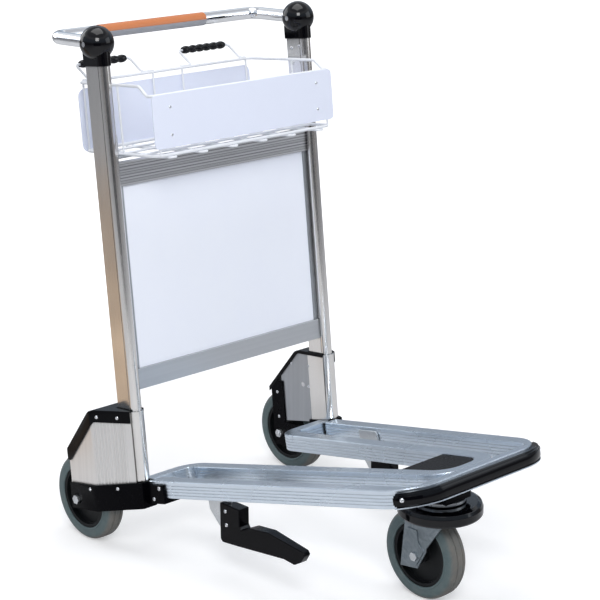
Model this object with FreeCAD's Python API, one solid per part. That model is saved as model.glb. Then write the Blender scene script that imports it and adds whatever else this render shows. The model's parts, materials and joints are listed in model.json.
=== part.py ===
import FreeCAD, Part
import math
import os

V = FreeCAD.Vector

# Three-wheeled airport luggage trolley. Millimetres, +Z up, front towards -Y, left is -X.
# Everything is drawn with the rear axle above Y = 0 and moved to the centre of its footprint at the end.
# Two tilted frames are used. Mast frame: Y is depth behind the uprights' front face, Z runs up along them.
# Deck frame: Y is distance along the sloping rails, negative to the front, Z is height above them.

# Wheels
wheel_r = 87.5
tyre_w = 42.0
hub_r = 63.0
rim_w = 36.0
boss_r = 17.0
boss_w = 38.0
bearing_r = 13.0
bearing_w = 10.0
axle_r = 6.0
rear_wheel_x = 278.0

# Fits and plate thicknesses
run_gap = 0.05
face_gap = 0.3
fit_gap = 0.15
casing_t = 2.5
bracket_t = 3.0

# Mast
lean_deg = 5.6
mast_foot_y = -168.0
upright_x = 257.0
upright_w = 24.0
upright_d = 52.0
upright_wall = 2.5
upright_bottom = 170.0
upright_top = 972.0
sleeve_wall = 3.0
sleeve_bottom = 108.0
sleeve_top = 297.0

# Cross members between the uprights, heights up the mast
lower_rail_bottom = 334.0
lower_rail_h = 41.0
upper_panel_bottom = 732.0
upper_panel_h = 45.0
cross_d = 20.0
cross_set_back = 14.0
display_t = 4.0
channel_w = 11.0

# Knuckles and handlebar
knuckle_cover = 6.5
knuckle_wall = 3.5
knuckle_lift = 32.5
collar_wall = 2.5
collar_depth = 10.0
handle_r = 12.5
handle_wall = 2.0
handle_reach = 136.0
handle_bend = 25.0
handle_droop_deg = 1.2
press_deg = 12.0
grip_from_x = -150.0
grip_to_x = 117.0
grip_t = 1.0

# Brake linkage, offsets from the handle pivot and places in the mast frame
crank_back = 16.0
crank_down = 20.5
crank_pin_r = 2.5
crank_w = 18.0
rod_r = 4.0
lever_pivot_v = 77.0
lever_pivot_w = 224.0
lever_pin_r = 5.0
lever_t = 8.0
shoe_t = 9.0
shoe_w = 34.0
shoe_angle_deg = 97.0
shoe_span_deg = 34.0
spring_r = 7.0
spring_wire_r = 1.2
spring_len = 40.0
spring_turns = 7
spring_foot_w = 600.0

# Rear wheel casings, plan points in the mast frame
casing_front_v = 8.0
crease_x = 312.0
crease_v = 89.0
casing_rear_x = 304.0
casing_rear_v = 182.0
casing_top = 299.0
casing_shoulder_v = 90.5
casing_tail_w = 205.0
casing_foot = 151.0
casing_rib_count = 10
casing_rib_h = 1.0
inner_plate_x = 243.0
inner_plate_rear_v = 145.0
inner_strip_v = (140.0, 177.0)
inner_strip_top = 222.0
cover_t = 2.5
cover_flange = 24.0
cover_round = 2.2
cover_shoulder_r = 28.0
cover_inner_flange = 7.0
band_h = 53.0
band_lap = 5.0

# Deck
deck_slope_deg = 12.5
deck_rear_y = -166.0
deck_rear_z = 158.0
deck_length = 636.0
rail_w = 32.0
rail_h = 34.0
rail_wall = 2.5
rail_groove = 0.8
deck_rear_half = 254.0
deck_front_half = 184.5
front_bend = 68.0
front_bar_w = 22.0
front_inner_bend = 18.0
bay_rear_half = 111.0
bay_front_half = 45.0
nose_bend = 56.0
nose_lap = 12.0
link_bend = 34.0
rail_over = 14.0
link_lap = 4.0

connector_t = 6.0
connector_len = 34.0

# Bumper
bumper_t = 14.0
bumper_h = 25.0
bumper_drop = 5.0
bumper_wrap = 36.0
bumper_screw_in = 15.0
lip_t = 2.0
lip_w = 13.0

# Castor
castor_set_back = 95.925
castor_trail = 35.0
castor_tyre_w = 43.0
crown_clear = 7.0
crown_t = 5.0
crown_r = 39.0
cheek_t = 3.5
cheek_gap = 3.0
kingpin_r = 8.0
race_r = 28.0
race_rise = 24.0
top_plate_r = 48.0
top_plate_t = 5.0
guard_r = 79.0
guard_drop = 6.0
guard_h = 27.5
guard_wall = 4.5
mount_half = 34.0
mount_plate_t = 5.0
mount_plate_drop = 2.0
mount_plate_len = 150.0

# Hanging feet
hanger_t = 4.0
hanger_s = -140.0
hanger_len = 60.0
hanger_drop = 104.0
hook_w = 26.0
hook_box_len = 55.0
hook_box_h = 80.0
hook_top = 150.0
hook_back = 22.0
hook_arm_len = 173.0

# Basket, in the mast frame
basket_front_v = -86.0
basket_rear_v = 148.0
basket_half_front = 229.0
basket_half_rear = 223.0
basket_floor_w = 791.0
rim_front_w = 903.0
rim_side_w = 921.0
rim_step_v = 14.0
rim_step_len = 22.0
rim_rear_w = 924.0
wire_r = 3.0
thin_wire_r = 2.2
hairpin_pitch = 76.0
hairpin_gap = 15.0
hairpin_count = 6
panel_t = 2.0
front_panel_w = (804.0, 904.0)
rear_panel_w = (787.0, 911.0)
loop_inner_x = 64.0
loop_outer_x = 196.0
loop_rise = 31.0
loop_back = 38.0
finger_grip_r = 8.0
finger_grip_len = 112.0
finger_lobes = 6


# Helpers

def box(x0, x1, y0, y1, z0, z1):
    return Part.makeBox(x1 - x0, y1 - y0, z1 - z0, V(x0, y0, z0))


def cyl(x, y, z, r, length, axis=(0, 0, 1)):
    return Part.makeCylinder(r, length, V(x, y, z), V(*axis))


def tube(x, y, z, r_out, r_in, length, axis=(0, 0, 1)):
    return cyl(x, y, z, r_out, length, axis).cut(cyl(x, y, z, r_in, length, axis))


def fuse(shapes):
    shapes = list(shapes)
    return shapes[0] if len(shapes) == 1 else shapes[0].multiFuse(shapes[1:]).removeSplitter()


def side_prism(points, x0, x1):
    """Prism along X of an outline given as (y, z) points."""
    face = Part.Face(Part.makePolygon([V(x0, y, z) for y, z in points + points[:1]]))
    return face.extrude(V(x1 - x0, 0, 0))


def plan_prism(points, z0, z1):
    """Prism along Z of an outline given as (x, y) points."""
    face = Part.Face(Part.makePolygon([V(x, y, z0) for x, y in points + points[:1]]))
    return face.extrude(V(0, 0, z1 - z0))


def mirrored(shape):
    return shape.mirror(V(0, 0, 0), V(1, 0, 0))


def both(shape):
    return [shape, mirrored(shape)]


def in_mast(shape):
    placed = shape.copy()
    placed.rotate(V(0, 0, 0), V(1, 0, 0), -lean_deg)
    placed.translate(V(0, mast_foot_y, 0))
    return placed


def in_deck(shape):
    placed = shape.copy()
    placed.rotate(V(0, 0, 0), V(1, 0, 0), -deck_slope_deg)
    placed.translate(V(0, deck_rear_y, deck_rear_z))
    return placed


def mast_point(v, w):
    lean = math.radians(lean_deg)
    return (mast_foot_y + v * math.cos(lean) + w * math.sin(lean),
            -v * math.sin(lean) + w * math.cos(lean))


def mast_vw(y, z):
    lean = math.radians(lean_deg)
    dy = y - mast_foot_y
    return (dy * math.cos(lean) - z * math.sin(lean), dy * math.sin(lean) + z * math.cos(lean))


def offset_line(points, d):
    """Open polyline moved d to its left, with mitred corners."""
    moved = []
    for i, (x, y) in enumerate(points):
        normals = []
        for a, b in ((i - 1, i), (i, i + 1)):
            if a >= 0 and b < len(points):
                dx, dy = points[b][0] - points[a][0], points[b][1] - points[a][1]
                length = math.hypot(dx, dy)
                normals.append((-dy / length, dx / length))
        nx, ny = normals[0][0] + normals[-1][0], normals[0][1] + normals[-1][1]
        scale = 2 * d / (nx * nx + ny * ny)
        moved.append((x + nx * scale, y + ny * scale))
    return moved


def rounded_edges(points, bends, closed=False):
    """Line and arc edges through the points, each corner rounded to its own radius."""
    edges = []
    last = len(points) - 1
    if not isinstance(bends, (list, tuple)):
        bends = [bends] * len(points)
    here = points[0]
    for i in range(1, last):
        p, q, s = points[i - 1], points[i], points[i + 1]
        a, b = (p - q).normalize(), (s - q).normalize()
        half = a.getAngle(b) / 2
        reach = bends[i] / math.tan(half)
        start, end = q + a * reach, q + b * reach
        middle = (a + b).normalize()
        centre = q + middle * (bends[i] / math.sin(half))
        if (start - here).Length > 1e-6:
            edges.append(Part.LineSegment(here, start).toShape())
        edges.append(Part.Arc(start, centre - middle * bends[i], end).toShape())
        here = end
    edges.append(Part.LineSegment(here, points[last]).toShape())
    if closed:
        edges.append(Part.LineSegment(points[last], points[0]).toShape())
    return edges


def bent_rod(points, bend, r):
    """Round bar along straight runs joined by tangent arcs."""
    path = [V(*p) for p in points]
    spine = Part.Wire(rounded_edges(path, bend) if len(path) > 2
                      else [Part.LineSegment(path[0], path[1]).toShape()])
    ring = Part.Wire(Part.Circle(path[0], path[1] - path[0], r).toShape())
    return spine.makePipeShell([ring], True, False)


def band(points, bend, left, right, z0, z1, left_path=None):
    """Flat bar that follows a plan path, from `right` to `left` of it.

    The corners are concentric unless the left side follows a path and bend of its own.
    """
    sides = []
    for line, bend, d in ((left_path or (points, bend)) + (left,), (points, bend, -right)):
        moved = offset_line(line, d)
        radii = [bend]
        for i in range(1, len(line) - 1):
            (ax, ay), (bx, by), (cx, cy) = line[i - 1], line[i], line[i + 1]
            turn = (bx - ax) * (cy - by) - (by - ay) * (cx - bx)
            radii.append(bend - d if turn > 0 else bend + d)
        radii.append(bend)
        corners = [V(x, y, z0) for x, y in moved]
        sides.append((corners, rounded_edges(corners, radii)))
    (first, edges_a), (second, edges_b) = sides
    caps = [Part.LineSegment(first[-1], second[-1]).toShape(),
            Part.LineSegment(second[0], first[0]).toShape()]
    wire = Part.Wire(Part.__sortEdges__(edges_a + edges_b + caps))
    return Part.Face(wire).extrude(V(0, 0, z1 - z0))


def rail(points, bend, left_path=None):
    """Hollow rail with softened top and bottom edges and four shallow grooves along each side."""
    half = rail_w / 2
    groove = half - rail_groove
    levels = [(-1.2, 0.0, half - 1.2), (-8.0, -1.2, half), (-9.5, -8.0, groove), (-14.0, -9.5, half),
              (-15.5, -14.0, groove), (-20.0, -15.5, half), (-21.5, -20.0, groove), (-26.0, -21.5, half),
              (-27.5, -26.0, groove), (-rail_h + 1.2, -27.5, half), (-rail_h, -rail_h + 1.2, half - 1.2)]
    body = fuse(band(points, bend, h, h, z0, z1, left_path) for z0, z1, h in levels)
    bore = half - rail_wall
    return body.cut(band(points, bend, bore, bore, -rail_h + rail_wall, -rail_wall, left_path))


def dome_head(x, y, z, axis, r=4.0, shank=5.0):
    """Round-headed screw or rivet: the head stands on (x, y, z), its shank goes in against the axis."""
    head = r * 0.55
    ball_r = (r * r + head * head) / (2 * head)
    cap = Part.makeSphere(ball_r, V(0, 0, head - ball_r))
    cap = cap.common(box(-r - 1, r + 1, -r - 1, r + 1, 0, head + 1))
    screw = cap.fuse(Part.makeCylinder(r * 0.5, shank, V(0, 0, -shank)))
    screw.Placement = FreeCAD.Placement(V(x, y, z), FreeCAD.Rotation(V(0, 0, 1), V(*axis)))
    return screw


def drilled(shape, screws):
    """The shape with a hole for each screw shank or head that goes into it."""
    return shape.cut(Part.makeCompound(screws)) if screws else shape


# Uprights and the sleeves that hold them

def upright_outline(grow, bottom, top):
    """Section of an upright, grown outwards: half-round bead in front, square back."""
    half = upright_w / 2 + grow
    front = V(upright_x, upright_w / 2, bottom)
    back = upright_d + grow
    left, right = V(upright_x - half, front.y, bottom), V(upright_x + half, front.y, bottom)
    edges = [Part.Arc(left, V(upright_x, front.y - half, bottom), right).toShape(),
             Part.LineSegment(right, V(right.x, back, bottom)).toShape(),
             Part.LineSegment(V(right.x, back, bottom), V(left.x, back, bottom)).toShape(),
             Part.LineSegment(V(left.x, back, bottom), left).toShape()]
    return Part.Face(Part.Wire(edges)).extrude(V(0, 0, top - bottom))


def upright():
    body = upright_outline(0, upright_bottom, upright_top)
    body = body.cut(upright_outline(-upright_wall, upright_bottom, upright_top))
    bead = upright_w / 2 + 2.0
    for side in (-1, 1):
        edge = upright_x + side * upright_w / 2
        body = body.cut(box(edge - 0.8, edge + 0.8, bead - 0.7, bead + 0.7, upright_bottom, upright_top))
    return body.cut(lever_window(upright_d - 2 * upright_wall, upright_d + 1))


def lever_window(v0, v1):
    """Slot through which the brake lever reaches the rod."""
    return box(upright_x - lever_t, upright_x + lever_t, v0, v1, lever_pivot_w - 22, lever_pivot_w + 22)


def sleeve():
    body = upright_outline(sleeve_wall + fit_gap, sleeve_bottom, sleeve_top)
    body = body.cut(upright_outline(fit_gap, upright_bottom, sleeve_top))
    body = body.cut(upright_outline(-upright_wall, sleeve_bottom, upright_bottom))
    return body.cut(lever_window(upright_d - 1, upright_d + sleeve_wall + 2))


# Rear wheel casings

sleeve_half = upright_w / 2 + sleeve_wall + fit_gap
casing_front_x = upright_x + sleeve_half + casing_t


def casing_plan(grow=0.0):
    """Outer face of the casing in plan: front edge, crease and rear edge."""
    line = [(casing_front_x, casing_front_v), (crease_x, crease_v), (casing_rear_x, casing_rear_v)]
    return offset_line(line, -grow)


def envelope(inset, x0, x1, front=casing_front_v, rear=casing_rear_v + cover_t):
    """Side view of the wheel housing: level top, rounded shoulder, 45 degree slope, upright tail."""
    top = casing_top - inset
    half_turn = math.radians(22.5)
    shoulder = casing_shoulder_v - inset * math.tan(half_turn)
    r = max(cover_shoulder_r - inset, 1.0)
    run = r * math.tan(half_turn)
    start = V(x0, shoulder - run, top)
    middle = V(x0, start.y + r * math.sin(half_turn), top - r + r * math.cos(half_turn))
    end = V(x0, shoulder + run * math.sqrt(0.5), top - run * math.sqrt(0.5))
    corners = [end, V(x0, rear, top - (rear - shoulder)), V(x0, rear, -200), V(x0, front, -200),
               V(x0, front, top), start]
    edges = [Part.LineSegment(a, b).toShape() for a, b in zip(corners, corners[1:])]
    edges.append(Part.Arc(start, middle, end).toShape())
    return Part.Face(Part.Wire(edges)).extrude(V(x1 - x0, 0, 0))


def below(rise, x0, x1):
    """Everything under the sloping foot line of the casing, which is parallel to the deck."""
    fall = math.tan(math.radians(deck_slope_deg - lean_deg))
    front, rear = -40.0, 260.0
    points = [(front, -300.0), (front, casing_foot + rise - fall * front),
              (rear, casing_foot + rise - fall * rear), (rear, -300.0)]
    return side_prism(points, x0, x1)


def casing():
    outer = casing_plan()
    inner = casing_plan(-casing_t)
    ribs = []
    (ax, ay), (bx, by) = outer[0], outer[1]
    length = math.hypot(bx - ax, by - ay)
    ux, uy = (bx - ax) / length, (by - ay) / length
    pitch = length / (casing_rib_count + 2)
    for i in range(casing_rib_count):
        start = (i + 2) * pitch
        for along, out in ((0.0, 0.0), (0.15, casing_rib_h), (0.45, casing_rib_h), (0.6, 0.0)):
            d = start + along * pitch
            ribs.append((ax + ux * d + uy * out, ay + uy * d - ux * out))
    outline = [outer[0]] + ribs + outer[1:] + inner[::-1]
    body = plan_prism(outline, 0, casing_top)
    body = body.common(envelope(cover_t, 200, 400, rear=casing_rear_v))
    return body.cut(below(0, 200, 400))


def inner_plate():
    plate = envelope(cover_t, inner_plate_x, inner_plate_x + casing_t)
    plate = plate.cut(box(200, 300, inner_plate_rear_v, 300, 0, 400))
    plate = plate.cut(below(0, 200, 400))
    return plate.cut(upright_outline(sleeve_wall + fit_gap, sleeve_bottom, sleeve_top))


def arch_cover():
    outer = casing_plan(cover_t)
    inner = casing_plan(casing_rib_h + 0.2)
    front, back = casing_front_v, casing_rear_v + cover_t
    inner_x = inner_plate_x - cover_t
    plan = [(inner_x, front)] + outer[:2] + [(outer[2][0], back), (inner_x, back)]
    hollow = [(inner_plate_x, front - 1)] + inner[:2] + [(inner[2][0], back + 1), (inner_plate_x, back + 1)]
    shell = plan_prism(plan, 0, casing_top).common(envelope(0, 200, 400))
    edge = [e for e in shell.Edges if e.BoundBox.ZMin > casing_tail_w - 1 and e.BoundBox.XMin > 270
            and e.BoundBox.YLength > 1]
    shell = shell.Solids[0].makeFillet(cover_round, edge)
    shell = shell.cut(plan_prism(hollow, 0, casing_top).common(envelope(cover_t, 200, 400, -60, 260)))
    shell = shell.cut(envelope(cover_flange, upright_x, 400, -60, 260))
    shell = shell.cut(envelope(cover_inner_flange, 200, upright_x, -60, 260))
    shell = shell.cut(box(200, 400, -60, 300, -1, casing_tail_w - cover_flange))
    return shell.cut(upright_outline(sleeve_wall + 2 * fit_gap, 0, 400))


def axle_bracket():
    """Black band round the casing's foot, and the strip that carries the axle's inner end."""
    front = -sleeve_wall - fit_gap - 0.2
    inner_x = inner_plate_x - bracket_t
    line = [(inner_plate_x, 62.0), (inner_plate_x, front), (upright_x + sleeve_half - 2, front)]
    line += casing_plan(casing_rib_h + 0.2)
    outer = offset_line(line, -bracket_t)
    body = plan_prism(line + outer[::-1], 0, 260)
    body = body.common(below(band_lap, 200, 400)).cut(below(-band_h + band_lap, 200, 400))
    axle_v, axle_w = mast_vw(0, wheel_r)
    boss_in = rear_wheel_x + tyre_w / 2 + 1.5
    body = body.fuse(cyl(boss_in, axle_v, axle_w, 13, casing_rear_x + 7 - boss_in, (1, 0, 0)))
    body = body.cut(cyl(200, axle_v, axle_w, axle_r + fit_gap, 200, (1, 0, 0)))
    v0, v1 = inner_strip_v
    strip = box(inner_x, inner_plate_x, v0, v1, axle_w - 28, inner_strip_top)
    strip = strip.common(envelope(cover_inner_flange + fit_gap, 200, 300))
    strip = strip.cut(cyl(200, axle_v, axle_w, axle_r + fit_gap, 200, (1, 0, 0)))
    tie = box(inner_x, inner_plate_x, 62.0, v0, axle_w - 2, axle_w + 26)
    body = body.fuse(strip).fuse(tie).removeSplitter()
    return body.cut(upright_outline(sleeve_wall + fit_gap, 0, 400))


# Cross members and display panel

cross_half = upright_x - upright_w / 2


def cross_bar(bottom, height, grooves):
    body = box(-cross_half, cross_half, cross_set_back, cross_set_back + cross_d, bottom, bottom + height)
    hollow = box(-cross_half, cross_half, cross_set_back + 2, cross_set_back + cross_d - 2,
                 bottom + 2, bottom + height - 2)
    body = body.cut(hollow)
    pitch = height / (grooves + 1)
    for i in range(grooves):
        level = bottom + pitch * (i + 1)
        body = body.cut(box(-cross_half, cross_half, cross_set_back - 1, cross_set_back + 1,
                            level - 1.2, level + 1.2))
    return body


def display_panel():
    low, high = lower_rail_bottom + lower_rail_h, upper_panel_bottom
    half = cross_half - channel_w + 4
    front = cross_set_back + 5
    return box(-half, half, front, front + display_t, low, high)


def panel_channel():
    low, high = lower_rail_bottom + lower_rail_h, upper_panel_bottom
    front = cross_set_back + 5
    body = box(cross_half - channel_w, cross_half, front - 2, front + display_t + 2, low, high)
    return body.cut(box(cross_half - channel_w - 1, cross_half - channel_w + 4, front, front + display_t,
                        low, high))


# Knuckles, handlebar and brake linkage

pivot_v = upright_d / 2
knuckle_r = upright_d / 2 + knuckle_cover
knuckle_up = upright_top + knuckle_lift
crank_v = pivot_v + crank_back
crank_w_pos = knuckle_up - crank_down


def knuckle():
    ball = Part.makeSphere(knuckle_r, V(upright_x, pivot_v, knuckle_up))
    collar = upright_outline(collar_wall, upright_top - collar_depth, knuckle_up - knuckle_r / 2)
    body = ball.fuse(collar)
    body = body.cut(Part.makeSphere(knuckle_r - knuckle_wall, V(upright_x, pivot_v, knuckle_up)))
    body = body.cut(upright_outline(fit_gap, upright_top - collar_depth - 1, upright_top))
    body = body.cut(upright_outline(-upright_wall, upright_top - 1, knuckle_up - knuckle_r / 2))
    reach = knuckle_r + 8
    for step in range(5):
        angle = math.radians(lean_deg - handle_droop_deg - press_deg * step / 4)
        along = (0, math.cos(angle), math.sin(angle))
        body = body.cut(cyl(upright_x, pivot_v, knuckle_up, handle_r + 0.6, reach, along))
    return body.cut(cyl(upright_x - 50, pivot_v, knuckle_up, lever_pin_r, 100, (1, 0, 0)))


def knuckle_half(outer):
    cut_x = upright_x + 6
    x0, x1 = (cut_x, 400) if outer else (0, cut_x)
    keep = box(x0, x1, -50, 150, upright_top - 2 * knuckle_r, upright_top + 4 * knuckle_r)
    return knuckle().common(keep)


def pivot_pin():
    """Pin through the ball on which the handlebar turns."""
    half = knuckle_r - 0.6
    return cyl(upright_x - half, pivot_v, knuckle_up, lever_pin_r, 2 * half, (1, 0, 0))


def handle_frame(shape):
    """Handle drawn level behind the origin, swung to its resting droop and put on the pivots."""
    y, z = mast_point(pivot_v, knuckle_up)
    placed = shape.copy()
    placed.rotate(V(0, 0, 0), V(1, 0, 0), -handle_droop_deg)
    placed.translate(V(0, y, z))
    return placed


def handle_path(start):
    return [(-upright_x, start, 0), (-upright_x, handle_reach, 0), (upright_x, handle_reach, 0),
            (upright_x, start, 0)]


crank_hub_r = 15.0


def handlebar():
    bar = bent_rod(handle_path(2), handle_bend, handle_r)
    bar = bar.cut(bent_rod(handle_path(0), handle_bend, handle_r - handle_wall))
    for side in (-1, 1):
        hub = cyl(side * upright_x - 30, 0, 0, crank_hub_r + fit_gap, 60, (1, 0, 0))
        bar = bar.cut(hub)
    return bar


def grip_shell(top):
    """Half of the two-part cover round the straight of the handlebar."""
    length = grip_to_x - grip_from_x
    shell = tube(grip_from_x, handle_reach, 0, handle_r + grip_t, handle_r + 0.1, length, (1, 0, 0))
    z0, z1 = (0, 40) if top else (-40, 0)
    return shell.common(box(grip_from_x, grip_to_x, handle_reach - 40, handle_reach + 40, z0, z1))


def handle_crank():
    """Hub on the pivot pin, spigot into the tube, and the arm and pin that drive the brake rod."""
    half = crank_w / 2
    hub = cyl(upright_x - half, 0, 0, crank_hub_r, crank_w, (1, 0, 0))
    spigot = cyl(upright_x, 0, 0, handle_r - handle_wall - fit_gap, 44, (0, 1, 0))
    angle = math.radians(handle_droop_deg - lean_deg)
    pin_y = crank_back * math.cos(angle) + crank_down * math.sin(angle)
    pin_z = crank_back * math.sin(angle) - crank_down * math.cos(angle)
    arms = []
    for side in (-1, 1):
        x0 = upright_x + side * (half - 2) - 2
        arm = side_prism([(-2, -10), (8, -12), (pin_y + 4, pin_z + 4), (pin_y + 4, pin_z - 4.5),
                          (pin_y - 4, pin_z - 4.5)], x0, x0 + 4)
        arms.append(arm)
    pin = cyl(upright_x - half, pin_y, pin_z, crank_pin_r, crank_w, (1, 0, 0))
    body = fuse([hub, spigot] + arms + [pin])
    return body.cut(cyl(upright_x - 40, 0, 0, lever_pin_r + run_gap, 80, (1, 0, 0)))


def brake_rod():
    """Rod down the upright with a slotted head at each end and a collar above its spring."""
    slot_w = 2 * (crank_pin_r + face_gap)
    top = crank_w_pos
    low = lever_pivot_w
    x0, x1 = upright_x - 3, upright_x + 3
    shaft = cyl(upright_x, crank_v, low + 8, rod_r, top - low - 16)
    head = box(x0, x1, crank_v - 11, crank_v + 5.5, top - 9, top + 5)
    head = head.cut(box(x0, x1, crank_v - 9, crank_v + 3, top - slot_w / 2, top + slot_w / 2))
    foot = box(x0, x1, crank_v - 5, crank_v + 5, low - 6, low + 9)
    foot = foot.cut(box(x0, x1, crank_v - 3.2, crank_v + 3.2, low - slot_w / 2, low + slot_w / 2))
    collar = cyl(upright_x, crank_v, spring_foot_w + spring_len, spring_r, 5)
    return fuse([shaft, head, foot, collar])


def rod_spring():
    r = spring_r - spring_wire_r
    pitch = (spring_len - 2 * spring_wire_r) / spring_turns
    helix = Part.makeHelix(pitch, pitch * spring_turns, r)
    ring = Part.Wire(Part.Circle(V(r, 0, 0), V(0, 1, 0), spring_wire_r).toShape())
    coil = Part.Wire(helix).makePipeShell([ring], True, True)
    coil.translate(V(upright_x, crank_v, spring_foot_w + spring_wire_r))
    return coil


def rod_guide():
    """Block in the upright on which the rod spring stands."""
    half = upright_w / 2 - upright_wall - fit_gap
    body = box(upright_x - half, upright_x + half, 14, upright_d - upright_wall - fit_gap,
               spring_foot_w - 12, spring_foot_w)
    return body.cut(cyl(upright_x, crank_v, spring_foot_w - 13, rod_r + run_gap, 14))


def brake_lever():
    """Arm to the rod, tube on the pivot pin, arm to the shoe."""
    v, w = lever_pivot_v, lever_pivot_w
    half = lever_t / 2
    hub = cyl(upright_x - half, v, w, 9, rear_wheel_x + half - upright_x + half, (1, 0, 0))
    arms = []
    for side in (-1, 1):
        x0 = upright_x + side * 5 - 1.75
        arms.append(side_prism([(v + 5, w - 6), (v + 5, w + 6), (crank_v - 4.5, w + 4.5),
                                (crank_v - 4.5, w - 4.5)], x0, x0 + 3.5))
    pin = cyl(upright_x - 6.7, crank_v, w, crank_pin_r, 13.4, (1, 0, 0))
    sv, sw = shoe_seat()
    dv, dw = sv - v, sw - w
    length = math.hypot(dv, dw)
    nv, nw = -dw / length * 6, dv / length * 6
    arm = side_prism([(v + nv, w + nw), (sv + nv, sw + nw), (sv - nv, sw - nw), (v - nv, w - nw)],
                     rear_wheel_x - half, rear_wheel_x + half)
    body = fuse([hub] + arms + [pin, arm])
    y, z = mast_vw(0, wheel_r)
    body = body.cut(cyl(rear_wheel_x - 30, y, z, wheel_r + face_gap + shoe_t, 60, (1, 0, 0)))
    return body.cut(cyl(upright_x - 20, v, w, lever_pin_r + run_gap, 80, (1, 0, 0)))


def shoe_seat():
    """Middle of the shoe's outer face, in the mast frame."""
    angle = math.radians(shoe_angle_deg)
    r = wheel_r + face_gap + shoe_t - 1
    return mast_vw(r * math.cos(angle), wheel_r + r * math.sin(angle))


def brake_shoe():
    """Curved pad that bears on the tread."""
    inner = wheel_r + face_gap
    ring = tube(rear_wheel_x - shoe_w / 2, 0, wheel_r, inner + shoe_t, inner, shoe_w, (1, 0, 0))
    lo, hi = (math.radians(shoe_angle_deg + s * shoe_span_deg / 2) for s in (-1, 1))
    far = 200
    wedge = side_prism([(0, wheel_r), (far * math.cos(lo), wheel_r + far * math.sin(lo)),
                        (far * math.cos(hi), wheel_r + far * math.sin(hi))],
                       rear_wheel_x - shoe_w, rear_wheel_x + shoe_w)
    return ring.common(wedge)


def lever_pin():
    start = inner_plate_x
    return cyl(start, lever_pivot_v, lever_pivot_w, lever_pin_r, rear_wheel_x + 16 - start, (1, 0, 0))


# Wheels

def tyre(width):
    body = tube(-width / 2, 0, 0, wheel_r, hub_r, width, (1, 0, 0))
    outer = [e for e in body.Edges if e.Curve.TypeId == "Part::GeomCircle" and e.Curve.Radius > wheel_r - 1]
    body = body.makeFillet(11.0, outer)
    for side in (-1, 1):
        groove_x = side * (width / 2 - 14.5) - 0.8
        body = body.cut(tube(groove_x, 0, 0, wheel_r + 1, wheel_r - 1.2, 1.6, (1, 0, 0)))
    return body


def hub(width):
    rim = tube(-rim_w / 2, 0, 0, hub_r, hub_r - 7, rim_w, (1, 0, 0))
    web = tube(-6, 0, 0, hub_r - 7, boss_r, 12, (1, 0, 0))
    boss = tube(-boss_w / 2, 0, 0, boss_r, bearing_r, boss_w, (1, 0, 0))
    land = tube(-boss_w / 2 + bearing_w, 0, 0, bearing_r, bearing_r - 2, boss_w - 2 * bearing_w, (1, 0, 0))
    return fuse([rim, web, boss, land])


def bearing_pair():
    return [tube(x, 0, 0, bearing_r, axle_r + run_gap, bearing_w, (1, 0, 0))
            for x in (-boss_w / 2, boss_w / 2 - bearing_w)]


def wheel_parts(width, x, y, z):
    parts = {"tyre": [tyre(width)], "hub": [hub(width)], "bearings": bearing_pair()}
    for solids in parts.values():
        for solid in solids:
            solid.translate(V(x, y, z))
    return parts


def rear_axle():
    """Bolt with a head outside, a nut inside, and the spacers between bracket and bearings."""
    inner = inner_plate_x - bracket_t
    outer = casing_rear_x + 7
    hexagon = [(9.5 * math.cos(math.radians(60 * i)), wheel_r + 9.5 * math.sin(math.radians(60 * i)))
               for i in range(6)]
    bolt = cyl(inner - 9, 0, wheel_r, axle_r, outer - inner + 9, (1, 0, 0))
    bolt = bolt.fuse(side_prism(hexagon, outer, outer + 6))
    nut = side_prism(hexagon, inner - 7, inner).cut(cyl(inner - 10, 0, wheel_r, axle_r, 20, (1, 0, 0)))
    hub_in = rear_wheel_x - boss_w / 2
    hub_out = rear_wheel_x + boss_w / 2
    bore = axle_r + run_gap
    spacer_in = tube(inner_plate_x, 0, wheel_r, 9, bore, hub_in - inner_plate_x - face_gap, (1, 0, 0))
    boss_in = rear_wheel_x + tyre_w / 2 + 1.5
    spacer_out = tube(hub_out + face_gap, 0, wheel_r, 9, bore, boss_in - hub_out - face_gap, (1, 0, 0))
    between = boss_w - 2 * bearing_w - 2 * face_gap
    middle = tube(rear_wheel_x - between / 2, 0, wheel_r, 9, bore, between, (1, 0, 0))
    return [bolt, nut, spacer_in, spacer_out, middle]


# Deck

deck_taper = (deck_rear_half - deck_front_half) / (deck_length - rail_w / 2)
link_butt = link_lap - rail_w / 2
link_back = rail_over + rail_w / 2
bumper_end_s = bumper_wrap - deck_length
mount_plate_rear = mount_plate_len - deck_length


def rail_half(s, side=0):
    """Half-spacing of the outer rails at s: their middle lines, or their outer (1) or inner (-1) faces."""
    return deck_rear_half - rail_w / 2 + deck_taper * s + side * rail_w / 2 * math.hypot(1, deck_taper)


def outer_rail_path(forward=0.0):
    """Plan of the outer rail's middle line, its front moved forward by the given amount."""
    front = -deck_length + rail_w / 2 - forward
    return [(-rail_half(rail_over), rail_over), (-rail_half(front), front),
            (rail_half(front), front), (rail_half(rail_over), rail_over)]


def outer_rail():
    """Loop of the deck; its front bar is narrower than its sides, with tighter corners inside."""
    inside = (outer_rail_path(rail_w - front_bar_w), front_inner_bend + rail_w / 2)
    return rail(outer_rail_path(), front_bend, inside)


def inner_rail_path():
    c = rail_w / 2
    nose = -deck_length + front_bar_w - nose_lap + c
    slope = (bay_rear_half - bay_front_half) / (link_butt - nose)
    rear = bay_rear_half + c
    front = bay_front_half + c
    return [(-rear, link_butt), (-front, nose), (front, nose), (rear, link_butt)], slope


def inner_rail():
    """Hairpin round the nesting bay, its nose let into the front bar."""
    path, _ = inner_rail_path()
    front = box(-400, 400, -deck_length, -deck_length + front_bar_w, -rail_h - 1, 1)
    return rail(path, nose_bend).cut(front)


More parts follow.
